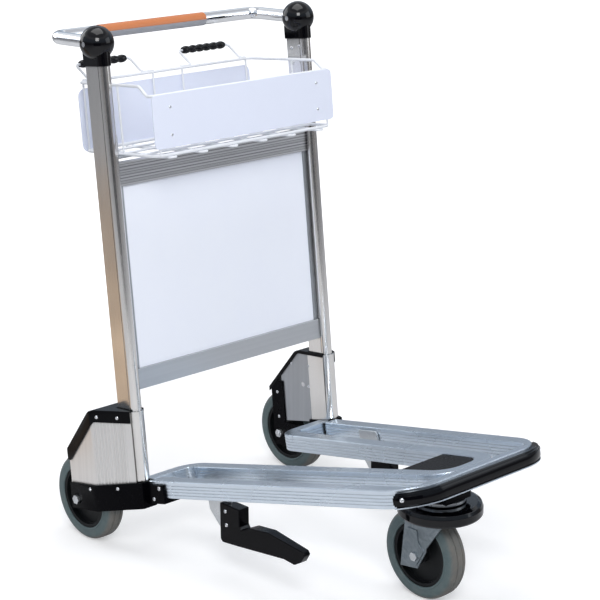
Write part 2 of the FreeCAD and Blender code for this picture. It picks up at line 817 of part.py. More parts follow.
def rear_link():
    path, slope = inner_rail_path()
    rear = path[0][0]
    end = inner_plate_x - bracket_t
    points = [(-end, link_back), (rear - (link_back - link_butt) * slope, link_back), (rear, link_butt)]
    return rail(points, link_bend)


def bumper_layer(inside, outside, z0, z1):
    """Layer of the bumper; the path runs left to right, so its outer side is on the right."""
    c = rail_w / 2
    layer = band(outer_rail_path(), front_bend, -(c + inside + fit_gap), c + outside, z0, z1)
    return layer.cut(box(-400, 400, bumper_end_s, 100, z0 - 1, z1 + 1))


def bumper_screw_seat():
    """Point on the bumper's face a set way in from its end, and the direction outwards there."""
    r = front_bend + rail_w / 2 + bumper_t
    x = rail_half(-deck_length + rail_w / 2) - front_bend * (math.hypot(1, deck_taper) - deck_taper)
    s = -deck_length + rail_w / 2 + front_bend
    angle = math.asin((s - bumper_end_s) / r) + bumper_screw_in / r
    out = (math.cos(angle), -math.sin(angle), 0)
    return x + r * out[0], s + r * out[1], out


def front_bumper():
    z1 = -bumper_drop
    layers = [(0.0, bumper_t - 6.0, z1 - 2.5, z1), (0.0, bumper_t - 2.0, z1 - 6.0, z1 - 2.5),
              (0.0, bumper_t, z1 - bumper_h + 6.0, z1 - 6.0),
              (0.0, bumper_t - 2.0, z1 - bumper_h + 2.5, z1 - bumper_h + 6.0),
              (0.0, bumper_t - 6.0, z1 - bumper_h, z1 - bumper_h + 2.5)]
    return fuse(bumper_layer(*layer) for layer in layers)


def bumper_lip():
    top = -bumper_drop - bumper_h
    return bumper_layer(0.0, lip_w, top - lip_t, top)


# Castor

castor_y = deck_rear_y - deck_length * math.cos(math.radians(deck_slope_deg)) + castor_set_back
crown_z = 2 * wheel_r + crown_clear
race_top = crown_z + race_rise
guard_bottom = crown_z - guard_drop
guard_top = guard_bottom + guard_h


def castor_cheek(x0, x1):
    axle = castor_y + castor_trail
    points = [(axle + 25, crown_z), (axle + 27, crown_z - 30), (axle + 37, wheel_r - 29.5),
              (axle - 6, wheel_r - 23.5), (axle - 27, wheel_r + 15.5), (axle - 27, wheel_r + 21.5),
              (axle - 64, crown_z - 20), (axle - 68, crown_z)]
    return side_prism(points, x0, x1)


def castor_fork():
    inner = castor_tyre_w / 2 + cheek_gap
    crown = cyl(0, castor_y, crown_z, crown_r, crown_t)
    axle = castor_y + castor_trail
    outer = inner + cheek_t
    crown = crown.fuse(box(-outer, outer, axle - 68, axle + 25, crown_z, crown_z + crown_t))
    cheeks = [castor_cheek(inner, inner + cheek_t), castor_cheek(-inner - cheek_t, -inner)]
    pads = []
    for side in (-1, 1):
        x0 = side * inner if side > 0 else -inner - cheek_t - 2
        outline = [(axle + 19, wheel_r + 52.5), (axle + 29, wheel_r - 23.5), (axle - 4, wheel_r - 18.5),
                   (axle - 22, wheel_r + 15.5), (axle - 8, wheel_r + 30.5), (axle - 4, wheel_r + 52.5)]
        pad = side_prism(outline, x0, x0 + cheek_t + 2)
        pads.append(pad)
    body = fuse([crown] + cheeks + pads)
    body = body.cut(cyl(-60, axle, wheel_r, axle_r + fit_gap, 120, (1, 0, 0)))
    return body.cut(cyl(0, castor_y, crown_z - 1, kingpin_r + run_gap, crown_t + 2))


def castor_axle():
    inner = castor_tyre_w / 2 + cheek_gap
    outer = inner + cheek_t + 2
    axle = castor_y + castor_trail
    hexagon = [(axle + 9 * math.cos(math.radians(60 * i)), wheel_r + 9 * math.sin(math.radians(60 * i)))
               for i in range(6)]
    bolt = cyl(-outer, axle, wheel_r, axle_r, 2 * outer + 8, (1, 0, 0))
    bolt = bolt.fuse(side_prism(hexagon, -outer - 5, -outer))
    nut = side_prism(hexagon, outer, outer + 6).cut(cyl(outer - 1, axle, wheel_r, axle_r, 12, (1, 0, 0)))
    bore = axle_r + run_gap
    gap = inner - boss_w / 2 - face_gap
    sides = [tube(x, axle, wheel_r, 9, bore, gap, (1, 0, 0)) for x in (-inner, inner - gap)]
    between = boss_w - 2 * bearing_w - 2 * face_gap
    middle = tube(-between / 2, axle, wheel_r, 9, bore, between, (1, 0, 0))
    return [bolt, nut, middle] + sides


def castor_guard():
    """Round cap that turns with the fork: rounded rim, shallow domed top."""
    foot = crown_z + crown_t
    skin = guard_top - 4
    outline = [(race_r + 2, foot), (race_r + 7, foot), (race_r + 7, skin), (guard_r - 13, skin),
               (guard_r - guard_wall, skin - 4), (guard_r - guard_wall, guard_bottom),
               (guard_r - 3, guard_bottom),
               (guard_r, guard_bottom + 4), (guard_r, guard_top - 11), (guard_r - 3, guard_top - 4),
               (guard_r - 10, guard_top - 0.5), (race_r + 2, guard_top)]
    points = [V(r, 0, z) for r, z in outline]
    face = Part.Face(Part.makePolygon(points + points[:1]))
    body = face.revolve(V(0, 0, 0), V(0, 0, 1), 360)
    body.translate(V(0, castor_y, 0))
    return body


def swivel_bearing():
    bottom = crown_z + crown_t + face_gap
    return tube(0, castor_y, bottom, race_r, kingpin_r + fit_gap, race_top - bottom)


def castor_head():
    """Top plate with the kingpin riveted into it; the pin's foot holds the fork up."""
    foot = crown_z - 5 - face_gap
    plate = cyl(0, castor_y, race_top, top_plate_r, top_plate_t)
    pin = cyl(0, castor_y, foot, kingpin_r, race_top - foot + 1)
    return fuse([plate, cyl(0, castor_y, foot, 14, 5), pin])


def castor_mount():
    """Casting inside the nose: a sloping web between the rails and a pedestal with a level foot."""
    path, slope = inner_rail_path()
    c = rail_w / 2
    nose = path[1][1] + c
    level = -mount_plate_drop - mount_plate_t
    halves = [path[2][0] - c * math.hypot(1, slope) + slope * (s - path[1][1])
              for s in (mount_plate_rear, nose)]
    corners = [V(-halves[0], mount_plate_rear, level), V(-halves[1], nose, level),
               V(halves[1], nose, level), V(halves[0], mount_plate_rear, level)]
    outline = Part.Wire(rounded_edges(corners, nose_bend - c, True))
    plate = in_deck(Part.Face(outline).extrude(V(0, 0, mount_plate_t)))
    flange = in_deck(box(-mount_half - 26, mount_half + 26, nose - 26, nose + 96, -rail_h - 4, -rail_h))
    pedestal = box(-mount_half, mount_half, castor_y - 44, castor_y + 44, race_top + top_plate_t, 400)
    top = side_prism([(-900, 0), (-900, 500), (0, 500)], -100, 100)
    slope_tan = math.tan(math.radians(deck_slope_deg))

    def deck_z(y, drop):
        return deck_rear_z + (deck_rear_y - y) * slope_tan - drop / math.cos(math.radians(deck_slope_deg))

    over = side_prism([(-900, deck_z(-900, mount_plate_drop + mount_plate_t / 2)), (-900, 600), (0, 600),
                       (0, deck_z(0, mount_plate_drop + mount_plate_t / 2))], -100, 100)
    pedestal = pedestal.cut(over)
    nose_wall = in_deck(box(-200, 200, nose - 60, nose, -rail_h, 10))
    pedestal = pedestal.cut(nose_wall)
    return fuse([plate, flange, pedestal])


# Hanging feet

def hanger():
    """Plate riveted inside the outer rail, hanging below it."""
    x = rail_half(hanger_s, -1) - fit_gap
    angle = math.degrees(math.atan(deck_taper))
    s0, s1 = -hanger_len / 2, hanger_len / 2
    points = [(s1, -7), (s1, -60), (s1 - 26, -hanger_drop), (s0, -hanger_drop), (s0, -12), (s0 + 5, -7)]
    plate = side_prism(points, -hanger_t, 0)
    plate.rotate(V(0, 0, 0), V(0, 0, 1), -angle)
    plate.translate(V(x, hanger_s, 0))
    return in_deck(plate), x


def foot_hook():
    """Moulded foot that straddles the hanger plate, with a forward arm that dips at its toe."""
    _, x = hanger()
    y_mid = deck_rear_y + hanger_s * math.cos(math.radians(deck_slope_deg))
    rear = y_mid - hook_back
    top = hook_top
    low = top - hook_box_h
    front = rear - hook_box_len
    toe = front - hook_arm_len
    points = [(rear, top), (rear, low + 6), (rear - 6, low), (toe + 54, low + 17), (toe + 27, low + 14),
              (toe + 10, low + 24), (toe, low + 40), (toe + 5, low + 47), (toe + 95, low + 58),
              (front - 30, low + 52), (front - 5, low + 40), (front, low + 46), (front, top)]
    half = hook_w / 2
    mid = x - hanger_t / 2
    body = side_prism(points, mid - half, mid + half)
    taper = 5.0
    for side in (-1, 1):
        edge = mid + side * half
        wedge = plan_prism([(edge, front + 4), (edge + side, front + 4), (edge + side, toe - 5),
                            (edge - side * taper, toe - 5)], low - 5, top + 5)
        body = body.cut(wedge)
    return body


# Basket

def basket_floor():
    """Welded grid: a perimeter wire, two long wires and pairs of cross wires bent into hairpins."""
    f, r = basket_front_v + wire_r, basket_rear_v - wire_r
    half = basket_half_front - 4
    rear_half = basket_half_rear - 4
    w = basket_floor_w
    ring = bent_rod([(0, f, w), (-half, f, w), (-rear_half, r, w),
                     (rear_half, r, w), (half, f, w), (0, f, w)],
                    18, wire_r)
    wires = [ring]
    for t in (0.25, 0.5, 0.75):
        v = f + (r - f) * t
        x = half + (rear_half - half) * t
        wires.append(bent_rod([(-x, v, w), (x, v, w)], 5, wire_r - 0.4))
    under = w - wire_r - thin_wire_r + 0.6
    first = -hairpin_pitch * (hairpin_count - 1) / 2
    for i in range(hairpin_count):
        x = first + i * hairpin_pitch
        g = hairpin_gap / 2
        wires.append(bent_rod([(x - g, r - 2, under), (x - g, f - 8, under), (x + g, f - 8, under),
                               (x + g, r - 2, under)], g - 0.5, thin_wire_r))
    return fuse(wires)


def basket_rim():
    """Closed top wire with stepped sides, the posts below it, and the raised wire that has the grips."""
    f, r = basket_front_v + wire_r, basket_rear_v - wire_r
    xf, xr = basket_half_front - wire_r, basket_half_rear - wire_r
    step = f + rim_step_v
    xs = xf + (xr - xf) * 0.15
    half_rim = [(0, f, rim_front_w), (-xf, f, rim_front_w), (-xf, step, rim_front_w + 0.5),
                (-xs, step + rim_step_len, rim_side_w), (-xr, r, rim_rear_w), (0, r, rim_rear_w)]
    left = bent_rod(half_rim, [8, 8, 12, 12, 14, 14], wire_r)
    wires = [left, mirrored(left)]
    low = basket_floor_w
    mid_v = f + (r - f) * 0.45
    side_x = xf + (xr - xf) * 0.45
    mid_w = rim_side_w + (rim_rear_w - rim_side_w) * 0.25
    for side in (-1, 1):
        wires.append(bent_rod([(side * (side_x + 1), mid_v, mid_w), (side * (side_x - 1), mid_v, low)], 5,
                              thin_wire_r))
        for x, depth, top in ((side * (xf - 10), f, rim_front_w), (side * (xr - 10), r, rim_rear_w)):
            wires.append(bent_rod([(x, depth, top), (x, depth, low)], 5, thin_wire_r))
        wires.append(bent_rod([(side * hairpin_pitch / 2, r - 1, rim_rear_w),
                               (side * hairpin_pitch / 2, r - 1, low)], 5, thin_wire_r))
        top_v, top_w = r + loop_back, rim_rear_w + loop_rise
        wires.append(bent_rod([(side * (loop_inner_x - 28), r, rim_rear_w + wire_r),
                               (side * loop_inner_x, r, rim_rear_w + wire_r),
                               (side * loop_inner_x, top_v, top_w), (side * loop_outer_x, top_v, top_w),
                               (side * loop_outer_x, r, rim_rear_w + wire_r),
                               (side * (loop_outer_x + 14), r, rim_rear_w + wire_r)], 8, thin_wire_r + 0.3))
    return fuse(wires)


def rounded_panel(half, v, w0, w1, corner):
    body = box(-half, half, v, v + panel_t, w0, w1)
    upright_edges = [e for e in body.Edges if abs(e.Vertexes[0].Y - e.Vertexes[-1].Y) > panel_t / 2]
    return body.makeFillet(corner, upright_edges)


def front_panel():
    return rounded_panel(basket_half_front + 1, basket_front_v - panel_t, *front_panel_w, 9)


def rear_panel():
    return rounded_panel(basket_half_rear - 1, basket_rear_v, *rear_panel_w, 16)


def finger_grip():
    """Moulded sleeve with rounded lobes, round the top of a wire loop."""
    bore = thin_wire_r + 0.3 + 0.05
    lobe = finger_grip_len / finger_lobes
    edges = []
    here = V(0, bore, 0)
    edges.append(Part.LineSegment(here, V(0, finger_grip_r - 2.2, 0)).toShape())
    for i in range(finger_lobes):
        a, b = V(i * lobe, finger_grip_r - 2.2, 0), V((i + 1) * lobe, finger_grip_r - 2.2, 0)
        edges.append(Part.Arc(a, V((i + 0.5) * lobe, finger_grip_r, 0), b).toShape())
    end = finger_grip_len
    edges.append(Part.LineSegment(V(end, finger_grip_r - 2.2, 0), V(end, bore, 0)).toShape())
    edges.append(Part.LineSegment(V(finger_grip_len, bore, 0), here).toShape())
    body = Part.Face(Part.Wire(edges)).revolve(V(0, 0, 0), V(1, 0, 0), 360)
    middle = (loop_inner_x + loop_outer_x) / 2
    body.translate(V(middle - end / 2, basket_rear_v - wire_r + loop_back, rim_rear_w + loop_rise))
    return body


def basket_bracket():
    """Plate screwed to the upright's inner face, with a tab under the basket's side wires."""
    x = upright_x - upright_w / 2
    plate = box(x - 3, x, 10, 44, basket_floor_w - 6, basket_floor_w + 40)
    side_x = basket_half_front - 4 + (basket_half_rear - basket_half_front) * 0.4
    tab = box(side_x - 14, x - 3, 10, 44, basket_floor_w - 6, basket_floor_w - wire_r)
    return plate.fuse(tab)


# Screws and rivets; each list is in its own frame

def casing_point(t, w, out=0.0):
    (ax, ay), (bx, by) = casing_plan(out)[:2]
    return ax + (bx - ax) * t, ay + (by - ay) * t, w


def casing_axis():
    (ax, ay), (bx, by) = casing_plan()[:2]
    length = math.hypot(bx - ax, by - ay)
    return (by - ay) / length, -(bx - ax) / length, 0


def mast_rivets():
    """Right-hand rivets of one wheel housing."""
    heads = []
    for t in (0.32, 0.82):
        x, y, z = casing_point(t, casing_top - 15, cover_t)
        heads.append(dome_head(x, y, z, casing_axis(), 3.6, 2.4))
    fall = math.tan(math.radians(deck_slope_deg - lean_deg))
    outer = casing_plan(casing_rib_h + 0.2 + bracket_t)
    for (ax, ay), (bx, by), t in ((outer[0], outer[1], 0.45), (outer[1], outer[2], 0.2)):
        x, y = ax + (bx - ax) * t, ay + (by - ay) * t
        length = math.hypot(bx - ax, by - ay)
        axis = ((by - ay) / length, -(bx - ax) / length, 0)
        heads.append(dome_head(x, y, casing_foot - fall * y - 5, axis, 3.6, 2.4))
    inner_x = inner_plate_x - bracket_t
    for w in (inner_strip_top - 25, inner_strip_top - 80):
        heads.append(dome_head(inner_x, sum(inner_strip_v) / 2, w, (-1, 0, 0), 3.4, 2.4))
    for v, w in ((upright_d + 58, 268), (upright_d + 3, 268), (upright_d + 8, 222)):
        heads.append(dome_head(inner_plate_x, v, w, (-1, 0, 0), 3.4, 2.0))
    return heads


def mast_screws():
    """Right-hand screws of the mast and basket."""
    inner = upright_x - upright_w / 2
    heads = [dome_head(inner, v, w, (-1, 0, 0), 3.6, 2.0)
             for v, w in ((16, upright_top - 24), (38, upright_top - 28), (16, upright_top - 54),
                          (38, upright_top - 58))]
    heads += [dome_head(basket_half_front - 40, basket_front_v - panel_t, w, (0, -1, 0), 3.0, 1.6)
              for w in (front_panel_w[0] + 24, front_panel_w[1] - 24)]
    heads += [dome_head(inner - 3, 27, basket_floor_w + rise, (-1, 0, 0), 3.4, 2.4) for rise in (10, 30)]
    return heads


def deck_screws():
    """Right-hand screws of the deck."""
    slope = math.atan(deck_taper)
    out = (math.cos(slope), -math.sin(slope), 0)
    heads = []
    for s, z in ((-24, -15), (-6, -36)):
        face = rail_half(s, 1) + connector_t / math.cos(slope)
        heads.append(dome_head(face, s, z, out, 4.2, connector_t - 1))
    x, s, out = bumper_screw_seat()
    heads.append(dome_head(x, s, -bumper_drop - bumper_h / 2, out, 4.2, bumper_t - 4))
    return heads


def behind_bracket():
    """Space from the front face of the axle brackets rearwards."""
    front = -sleeve_wall - fit_gap - 0.2 - bracket_t
    return in_mast(box(-400, 400, front, 300, 0, 400))


def corner_connector():
    """Block that bolts the outer rail's rear end to the axle bracket."""
    s0, s1 = -connector_len, 14.0
    z0, z1 = -rail_h - 10, -7.0
    thick = connector_t * math.hypot(1, deck_taper)
    outer = [(rail_half(s0, 1), s0), (rail_half(s1, 1), s1)]
    plan = outer + [(outer[1][0] + thick, s1), (outer[0][0] + thick, s0)]
    side = plan_prism(plan, z0, z1)
    under = plan_prism([(rail_half(s0, -1), s0), (rail_half(s1, -1), s1)] + plan[2:], z0, -rail_h)
    return in_deck(side.fuse(under)).cut(behind_bracket())


# Assembly

def assemble():
    mast_rivet = mast_rivets()
    mast_screw = mast_screws()
    deck_screw = deck_screws()
    rivets = [in_mast(r) for r in mast_rivet]
    screws = [in_mast(s) for s in mast_screw] + [in_deck(s) for s in deck_screw]
    plate, _ = hanger()
    hook = foot_hook().cut(plate)
    nodes = {}

    def put(name, shapes, holes=()):
        shapes = shapes if isinstance(shapes, list) else [shapes]
        nodes[name] = [drilled(s, list(holes)) for s in shapes]

    right_upright = drilled(in_mast(upright()), screws)
    put("left_upright", mirrored(right_upright))
    put("right_upright", right_upright)
    put("upright_sleeves", both(drilled(in_mast(sleeve()), rivets)))
    right_casing = drilled(in_mast(casing()), rivets)
    put("left_casing", mirrored(right_casing))
    put("right_casing", right_casing)
    lever_pins = in_mast(lever_pin())
    put("inner_plates", both(drilled(in_mast(inner_plate()), rivets + [lever_pins])))
    put("arch_covers", both(drilled(in_mast(arch_cover()), rivets)))
    put("axle_brackets", both(drilled(in_mast(axle_bracket()), rivets)))
    put("corner_connectors", both(drilled(corner_connector(), screws)))

    put("outer_rail", in_deck(outer_rail()).cut(behind_bracket()))
    put("inner_rail", in_deck(inner_rail()))
    put("rear_links", both(in_deck(rear_link())))
    both_screws = screws + [mirrored(s) for s in screws]
    put("front_bumper", in_deck(front_bumper()), both_screws)
    put("bumper_lip", in_deck(bumper_lip()))
    put("castor_mount", castor_mount())
    put("castor_head", castor_head())
    put("swivel_bearing", swivel_bearing())
    put("hanger_plates", both(plate))
    put("foot_hooks", both(hook))

    put("upper_cross_panel", in_mast(cross_bar(upper_panel_bottom, upper_panel_h, 5)))
    put("lower_cross_rail", in_mast(cross_bar(lower_rail_bottom, lower_rail_h, 0)))
    put("display_panel", in_mast(display_panel()))
    put("panel_channels", both(in_mast(panel_channel())))
    put("knuckle_shells", both(in_mast(knuckle_half(False))))
    put("knuckle_covers", both(in_mast(knuckle_half(True))))
    put("pivot_pins", both(in_mast(pivot_pin())) + both(lever_pins))
    put("rod_guides", both(in_mast(rod_guide())))
    put("left_rod_spring", mirrored(in_mast(rod_spring())))
    put("right_rod_spring", in_mast(rod_spring()))
    put("rear_axles", [s for part in rear_axle() for s in both(part)])
    put("basket_floor", in_mast(basket_floor()))
    put("basket_rim", in_mast(basket_rim().cut(basket_floor())))
    put("basket_front_panel", in_mast(front_panel()), both_screws)
    put("basket_rear_panel", in_mast(rear_panel()))
    put("basket_brackets", both(drilled(in_mast(basket_bracket()), screws)))
    put("finger_grips", both(in_mast(finger_grip())))
    put("rivets", [s for r in rivets for s in both(r)])
    put("screws", [s for r in screws for s in both(r)])

    put("handlebar", handle_frame(handlebar()))
    put("handle_sleeve", handle_frame(grip_shell(False)))
    put("handle_strip", handle_frame(grip_shell(True)))
    put("handle_cranks", both(handle_frame(handle_crank())))
    put("left_brake_rod", mirrored(in_mast(brake_rod())))
    put("right_brake_rod", in_mast(brake_rod()))
    lever = in_mast(brake_lever())
    put("left_brake_lever", mirrored(lever))
    put("right_brake_lever", lever)
    put("left_brake_shoe", mirrored(brake_shoe()))
    put("right_brake_shoe", brake_shoe())

    for side, x in (("left", -rear_wheel_x), ("right", rear_wheel_x)):
        for part, solids in wheel_parts(tyre_w, x, 0, wheel_r).items():
            put(f"{side}_wheel_{part}", solids)
    put("castor_fork", castor_fork())
    put("castor_guard", castor_guard())
    put("castor_axle", castor_axle())
    for part, solids in wheel_parts(castor_tyre_w, 0, castor_y + castor_trail, wheel_r).items():
        put(f"castor_wheel_{part}", solids)
    return nodes


def rear_reach():
    """Rearmost point, the back of the finger grips."""
    y, _ = mast_point(basket_rear_v - wire_r + loop_back, rim_rear_w + loop_rise)
    return y + finger_grip_r


def front_reach():
    """Foremost point, the bumper's face at its mid height."""
    slope = math.radians(deck_slope_deg)
    z = 6.0 - bumper_drop - bumper_h
    return deck_rear_y + (-deck_length - bumper_t) * math.cos(slope) + z * math.sin(slope)


centre_y = (rear_reach() + front_reach()) / 2


def export(nodes):
    os.makedirs("parts", exist_ok=True)
    for name, shapes in nodes.items():
        solids = []
        for shape in shapes:
            moved = shape.copy()
            moved.translate(V(0, -centre_y, 0))
            solids.extend(moved.Solids)
        result = solids[0] if len(solids) == 1 else Part.makeCompound(solids)
        result.exportStep(f"parts/{name}.step")


if __name__ == "__main__":
    export(assemble())
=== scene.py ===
import bmesh
import bpy
import json
import math
from mathutils import Matrix, Vector


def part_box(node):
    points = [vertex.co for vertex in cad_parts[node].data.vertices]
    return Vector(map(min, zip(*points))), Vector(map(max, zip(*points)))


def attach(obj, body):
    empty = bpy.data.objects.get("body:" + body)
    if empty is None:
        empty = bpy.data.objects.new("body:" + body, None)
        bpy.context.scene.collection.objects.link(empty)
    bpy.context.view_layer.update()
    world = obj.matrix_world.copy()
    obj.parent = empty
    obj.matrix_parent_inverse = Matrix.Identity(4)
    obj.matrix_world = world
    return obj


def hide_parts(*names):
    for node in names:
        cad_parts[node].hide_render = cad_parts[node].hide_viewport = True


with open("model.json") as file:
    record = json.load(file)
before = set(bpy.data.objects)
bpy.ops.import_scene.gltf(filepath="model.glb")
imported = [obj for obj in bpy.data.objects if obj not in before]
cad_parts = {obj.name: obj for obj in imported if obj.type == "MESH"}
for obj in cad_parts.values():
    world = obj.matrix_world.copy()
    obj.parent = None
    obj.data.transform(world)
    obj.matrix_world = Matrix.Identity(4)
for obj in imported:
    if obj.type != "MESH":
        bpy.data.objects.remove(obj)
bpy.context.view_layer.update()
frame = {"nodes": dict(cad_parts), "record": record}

# Airport luggage trolley: a bolted aluminium frame on three wheels, put together from the floor up.
# Every part of the frame model keeps its place; parts with machined edges get a copy with softened edges.


# Base rails
# Two loops of hollow aluminium extrusion, bent flat and welded nose to front bar, and the short links to
# the wheel housings. The finish is clear anodised, with fine draw lines along each bar.
def bare_material(name):
    material = bpy.data.materials.new(name)
    material.use_nodes = True
    return material, material.node_tree, material.node_tree.nodes["Principled BSDF"]


def maths(tree, operation, *values):
    """Math node; each value is a number or another node's output."""
    node = tree.nodes.new("ShaderNodeMath")
    node.operation = operation
    for place, value in enumerate(values):
        if isinstance(value, (int, float)):
            node.inputs[place].default_value = value
        else:
            tree.links.new(value, node.inputs[place])
    return node.outputs["Value"]


def object_noise(tree, stretch, detail=4.0, roughness=0.55, distortion=0.0):
    """Noise in object space, with its own number of cells per metre along each axis."""
    place = tree.nodes.new("ShaderNodeTexCoord")
    scale = tree.nodes.new("ShaderNodeMapping")
    scale.inputs["Scale"].default_value = stretch
    noise = tree.nodes.new("ShaderNodeTexNoise")
    noise.inputs["Scale"].default_value = 1.0
    noise.inputs["Detail"].default_value = detail
    noise.inputs["Roughness"].default_value = roughness
    noise.inputs["Distortion"].default_value = distortion
    tree.links.new(place.outputs["Object"], scale.inputs["Vector"])
    tree.links.new(scale.outputs["Vector"], noise.inputs["Vector"])
    return noise


def spread(tree, source, low, high, from_low=0.3, from_high=0.7):
    """Map a texture value onto a chosen range."""
    node = tree.nodes.new("ShaderNodeMapRange")
    node.inputs["From Min"].default_value = from_low
    node.inputs["From Max"].default_value = from_high
    node.inputs["To Min"].default_value = low
    node.inputs["To Max"].default_value = high
    tree.links.new(source, node.inputs["Value"])
    return node.outputs["Result"]


def two_tone(tree, source, first, second):
    """Colour that runs from first to second with a texture value."""
    node = tree.nodes.new("ShaderNodeMix")
    node.data_type = "RGBA"
    node.inputs["A"].default_value = (*first, 1)
    node.inputs["B"].default_value = (*second, 1)
    tree.links.new(source, node.inputs["Factor"])
    return node.outputs["Result"]


def relief(tree, shader, source, depth, strength):
    """Bump of a real depth in metres."""
    bump = tree.nodes.new("ShaderNodeBump")
    bump.inputs["Distance"].default_value = depth
    bump.inputs["Strength"].default_value = strength
    tree.links.new(source, bump.inputs["Height"])
    tree.links.new(bump.outputs["Normal"], shader.inputs["Normal"])


def drawn_aluminium(name, bright, dull, roughness, draw_axis, groove_shade_pitch=0.0):
    """Extruded aluminium: draw streaks along one axis, painted shade that darkens its corners, and painted
    shade lines for any fine grooves it has.
    """
    material, tree, shader = bare_material(name)
    across, along = 110.0, 0.9
    stretch = [across] * 3
    stretch[draw_axis] = along
    streaks = object_noise(tree, stretch, detail=2.0)
    marks = object_noise(tree, (5.0, 5.0, 5.0), detail=4.0)
    metal = two_tone(tree, spread(tree, streaks.outputs["Fac"], 0, 1), bright, dull)
    # Painted shade: ambient occlusion within 6 mm darkens the base colour in corners and creases.
    corner = tree.nodes.new("ShaderNodeAmbientOcclusion")
    corner.samples = 6
    corner.inputs["Distance"].default_value = 0.006
    shade = spread(tree, corner.outputs["AO"], low=0.35, high=1.0, from_low=0.35, from_high=0.95)
    # Painted shade: a sine wave up the Z axis draws dark lines, one per groove pitch, for the shade in the
    # grooves.
    if groove_shade_pitch:
        place = tree.nodes.new("ShaderNodeTexCoord")
        parts = tree.nodes.new("ShaderNodeSeparateXYZ")
        tree.links.new(place.outputs["Object"], parts.inputs["Vector"])
        groove_shade_wave = maths(tree, "SINE", maths(tree, "MULTIPLY", parts.outputs["Z"], math.tau / groove_shade_pitch))
        shade = maths(tree, "MULTIPLY", shade,
                      spread(tree, groove_shade_wave, low=0.42, high=1.0, from_low=-0.95, from_high=-0.35))
    # Painted shade: the metal colour mixes towards near black wherever the painted shade is low.
    tint = tree.nodes.new("ShaderNodeMix")
    tint.data_type = "RGBA"
    tint.inputs["A"].default_value = (0.05, 0.05, 0.05, 1)
    tree.links.new(metal, tint.inputs["B"])
    tree.links.new(shade, tint.inputs["Factor"])
    tree.links.new(tint.outputs["Result"], shader.inputs["Base Color"])
    shader.inputs["Metallic"].default_value = 1.0
    tree.links.new(spread(tree, marks.outputs["Fac"], roughness - 0.02, roughness + 0.03),
                   shader.inputs["Roughness"])
    relief(tree, shader, streaks.outputs["Fac"], 0.000012, 0.25)
    return material


def finish(material, *nodes):
    """Give frame parts a material."""
    for node in nodes:
        part = frame["nodes"][node]
        if not part.material_slots:
            part.data.materials.append(material)
        for slot in part.material_slots:
            slot.material = material


def placed(name, data):
    """New object in the scene."""
    piece = bpy.data.objects.new(name, data)
    bpy.context.scene.collection.objects.link(piece)
    return piece


def body_of(node):
    """Body that a frame part belongs to."""
    for body, nodes in frame["record"]["behaviour"]["bodies"].items():
        if node in nodes:
            return body


def merged_copy(node, flat_deg=0.4):
    """Welded copy of a frame part's mesh, its flat areas joined into single faces."""
    weld_distance = 0.00001
    mesh = frame["nodes"][node].data.copy()
    for layer in ("custom_normal", "sharp_edge", "sharp_face"):
        if layer in mesh.attributes:
            mesh.attributes.remove(mesh.attributes[layer])
    shape = bmesh.new()
    shape.from_mesh(mesh)
    bmesh.ops.remove_doubles(shape, verts=shape.verts, dist=weld_distance)
    bmesh.ops.dissolve_limit(shape, angle_limit=math.radians(flat_deg), verts=shape.verts,
                             edges=shape.edges)
    shape.to_mesh(mesh)
    shape.free()
    return mesh


def soften(material, width, *nodes, segments=2, turn_deg=30.0, crisp=True):
    """Stand-in for frame parts with rounded edges, as tumbling, deburring or a mould leaves them."""
    for node in nodes:
        mesh = merged_copy(node)
        mesh.materials.clear()
        mesh.materials.append(material)
        mesh.polygons.foreach_set("material_index", [0] * len(mesh.polygons))
        mesh.polygons.foreach_set("use_smooth", [True] * len(mesh.polygons))
        piece = placed(node + "_finished", mesh)
        bevel = piece.modifiers.new("edges", "BEVEL")
        bevel.width = width
        bevel.segments = segments
        bevel.limit_method = "ANGLE"
        bevel.angle_limit = math.radians(turn_deg)
        bevel.harden_normals = crisp
        finish(material, node)
        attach(piece, body_of(node))
        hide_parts(node)


deck_aluminium = drawn_aluminium("deck_aluminium", (0.78, 0.86, 0.95), (0.72, 0.80, 0.89),
                                 roughness=0.27, draw_axis=1)
link_aluminium = drawn_aluminium("link_aluminium", (0.78, 0.86, 0.95), (0.72, 0.80, 0.89),
                                 roughness=0.27, draw_axis=0)
soften(deck_aluminium, 0.0007, "outer_rail", "inner_rail")
soften(link_aluminium, 0.0007, "rear_links")
finish(link_aluminium, "bumper_lip")


# Nose casting
# Black painted casting between the rails at the nose; its level foot takes the castor's top plate.
# The paint is a thick glossy coat that has gone slightly uneven.
def coated(name, colour, roughness, cells, depth, metallic=0.0, shift=0.03, gloss=0.5):
    """Paint or moulded plastic: a fine even grain, cells to the metre, with cloudy patches in its gloss."""
    material, tree, shader = bare_material(name)
    grain = object_noise(tree, (cells,) * 3, detail=2.0)
    cloud = object_noise(tree, (14.0,) * 3, detail=5.0)
    lighter = tuple(min(c * (1 + shift) + 0.001, 1.0) for c in colour)
    shader.inputs["Specular IOR Level"].default_value = gloss
    tree.links.new(two_tone(tree, spread(tree, cloud.outputs["Fac"], 0, 1), colour, lighter),
                   shader.inputs["Base Color"])
    tree.links.new(spread(tree, cloud.outputs["Fac"], roughness * 0.85, roughness * 1.2),
                   shader.inputs["Roughness"])
    shader.inputs["Metallic"].default_value = metallic
    relief(tree, shader, grain.outputs["Fac"], depth, 0.6)
    return material


black_enamel = coated("black_enamel", (0.001, 0.001, 0.002),
                      roughness=0.26, cells=500.0, depth=0.00005, gloss=0.05)
soften(black_enamel, 0.0012, "castor_mount")


# Front bumper
# Glossy black D-shaped moulding, screwed round the front corners of the deck.
# It is soft PVC, so its long edges are fully rounded.
bumper_vinyl = coated("bumper_vinyl", (0.001, 0.001, 0.002),
                      roughness=0.08, cells=260.0, depth=0.00003, gloss=0.22)
soften(bumper_vinyl, 0.0017, "front_bumper", crisp=False)


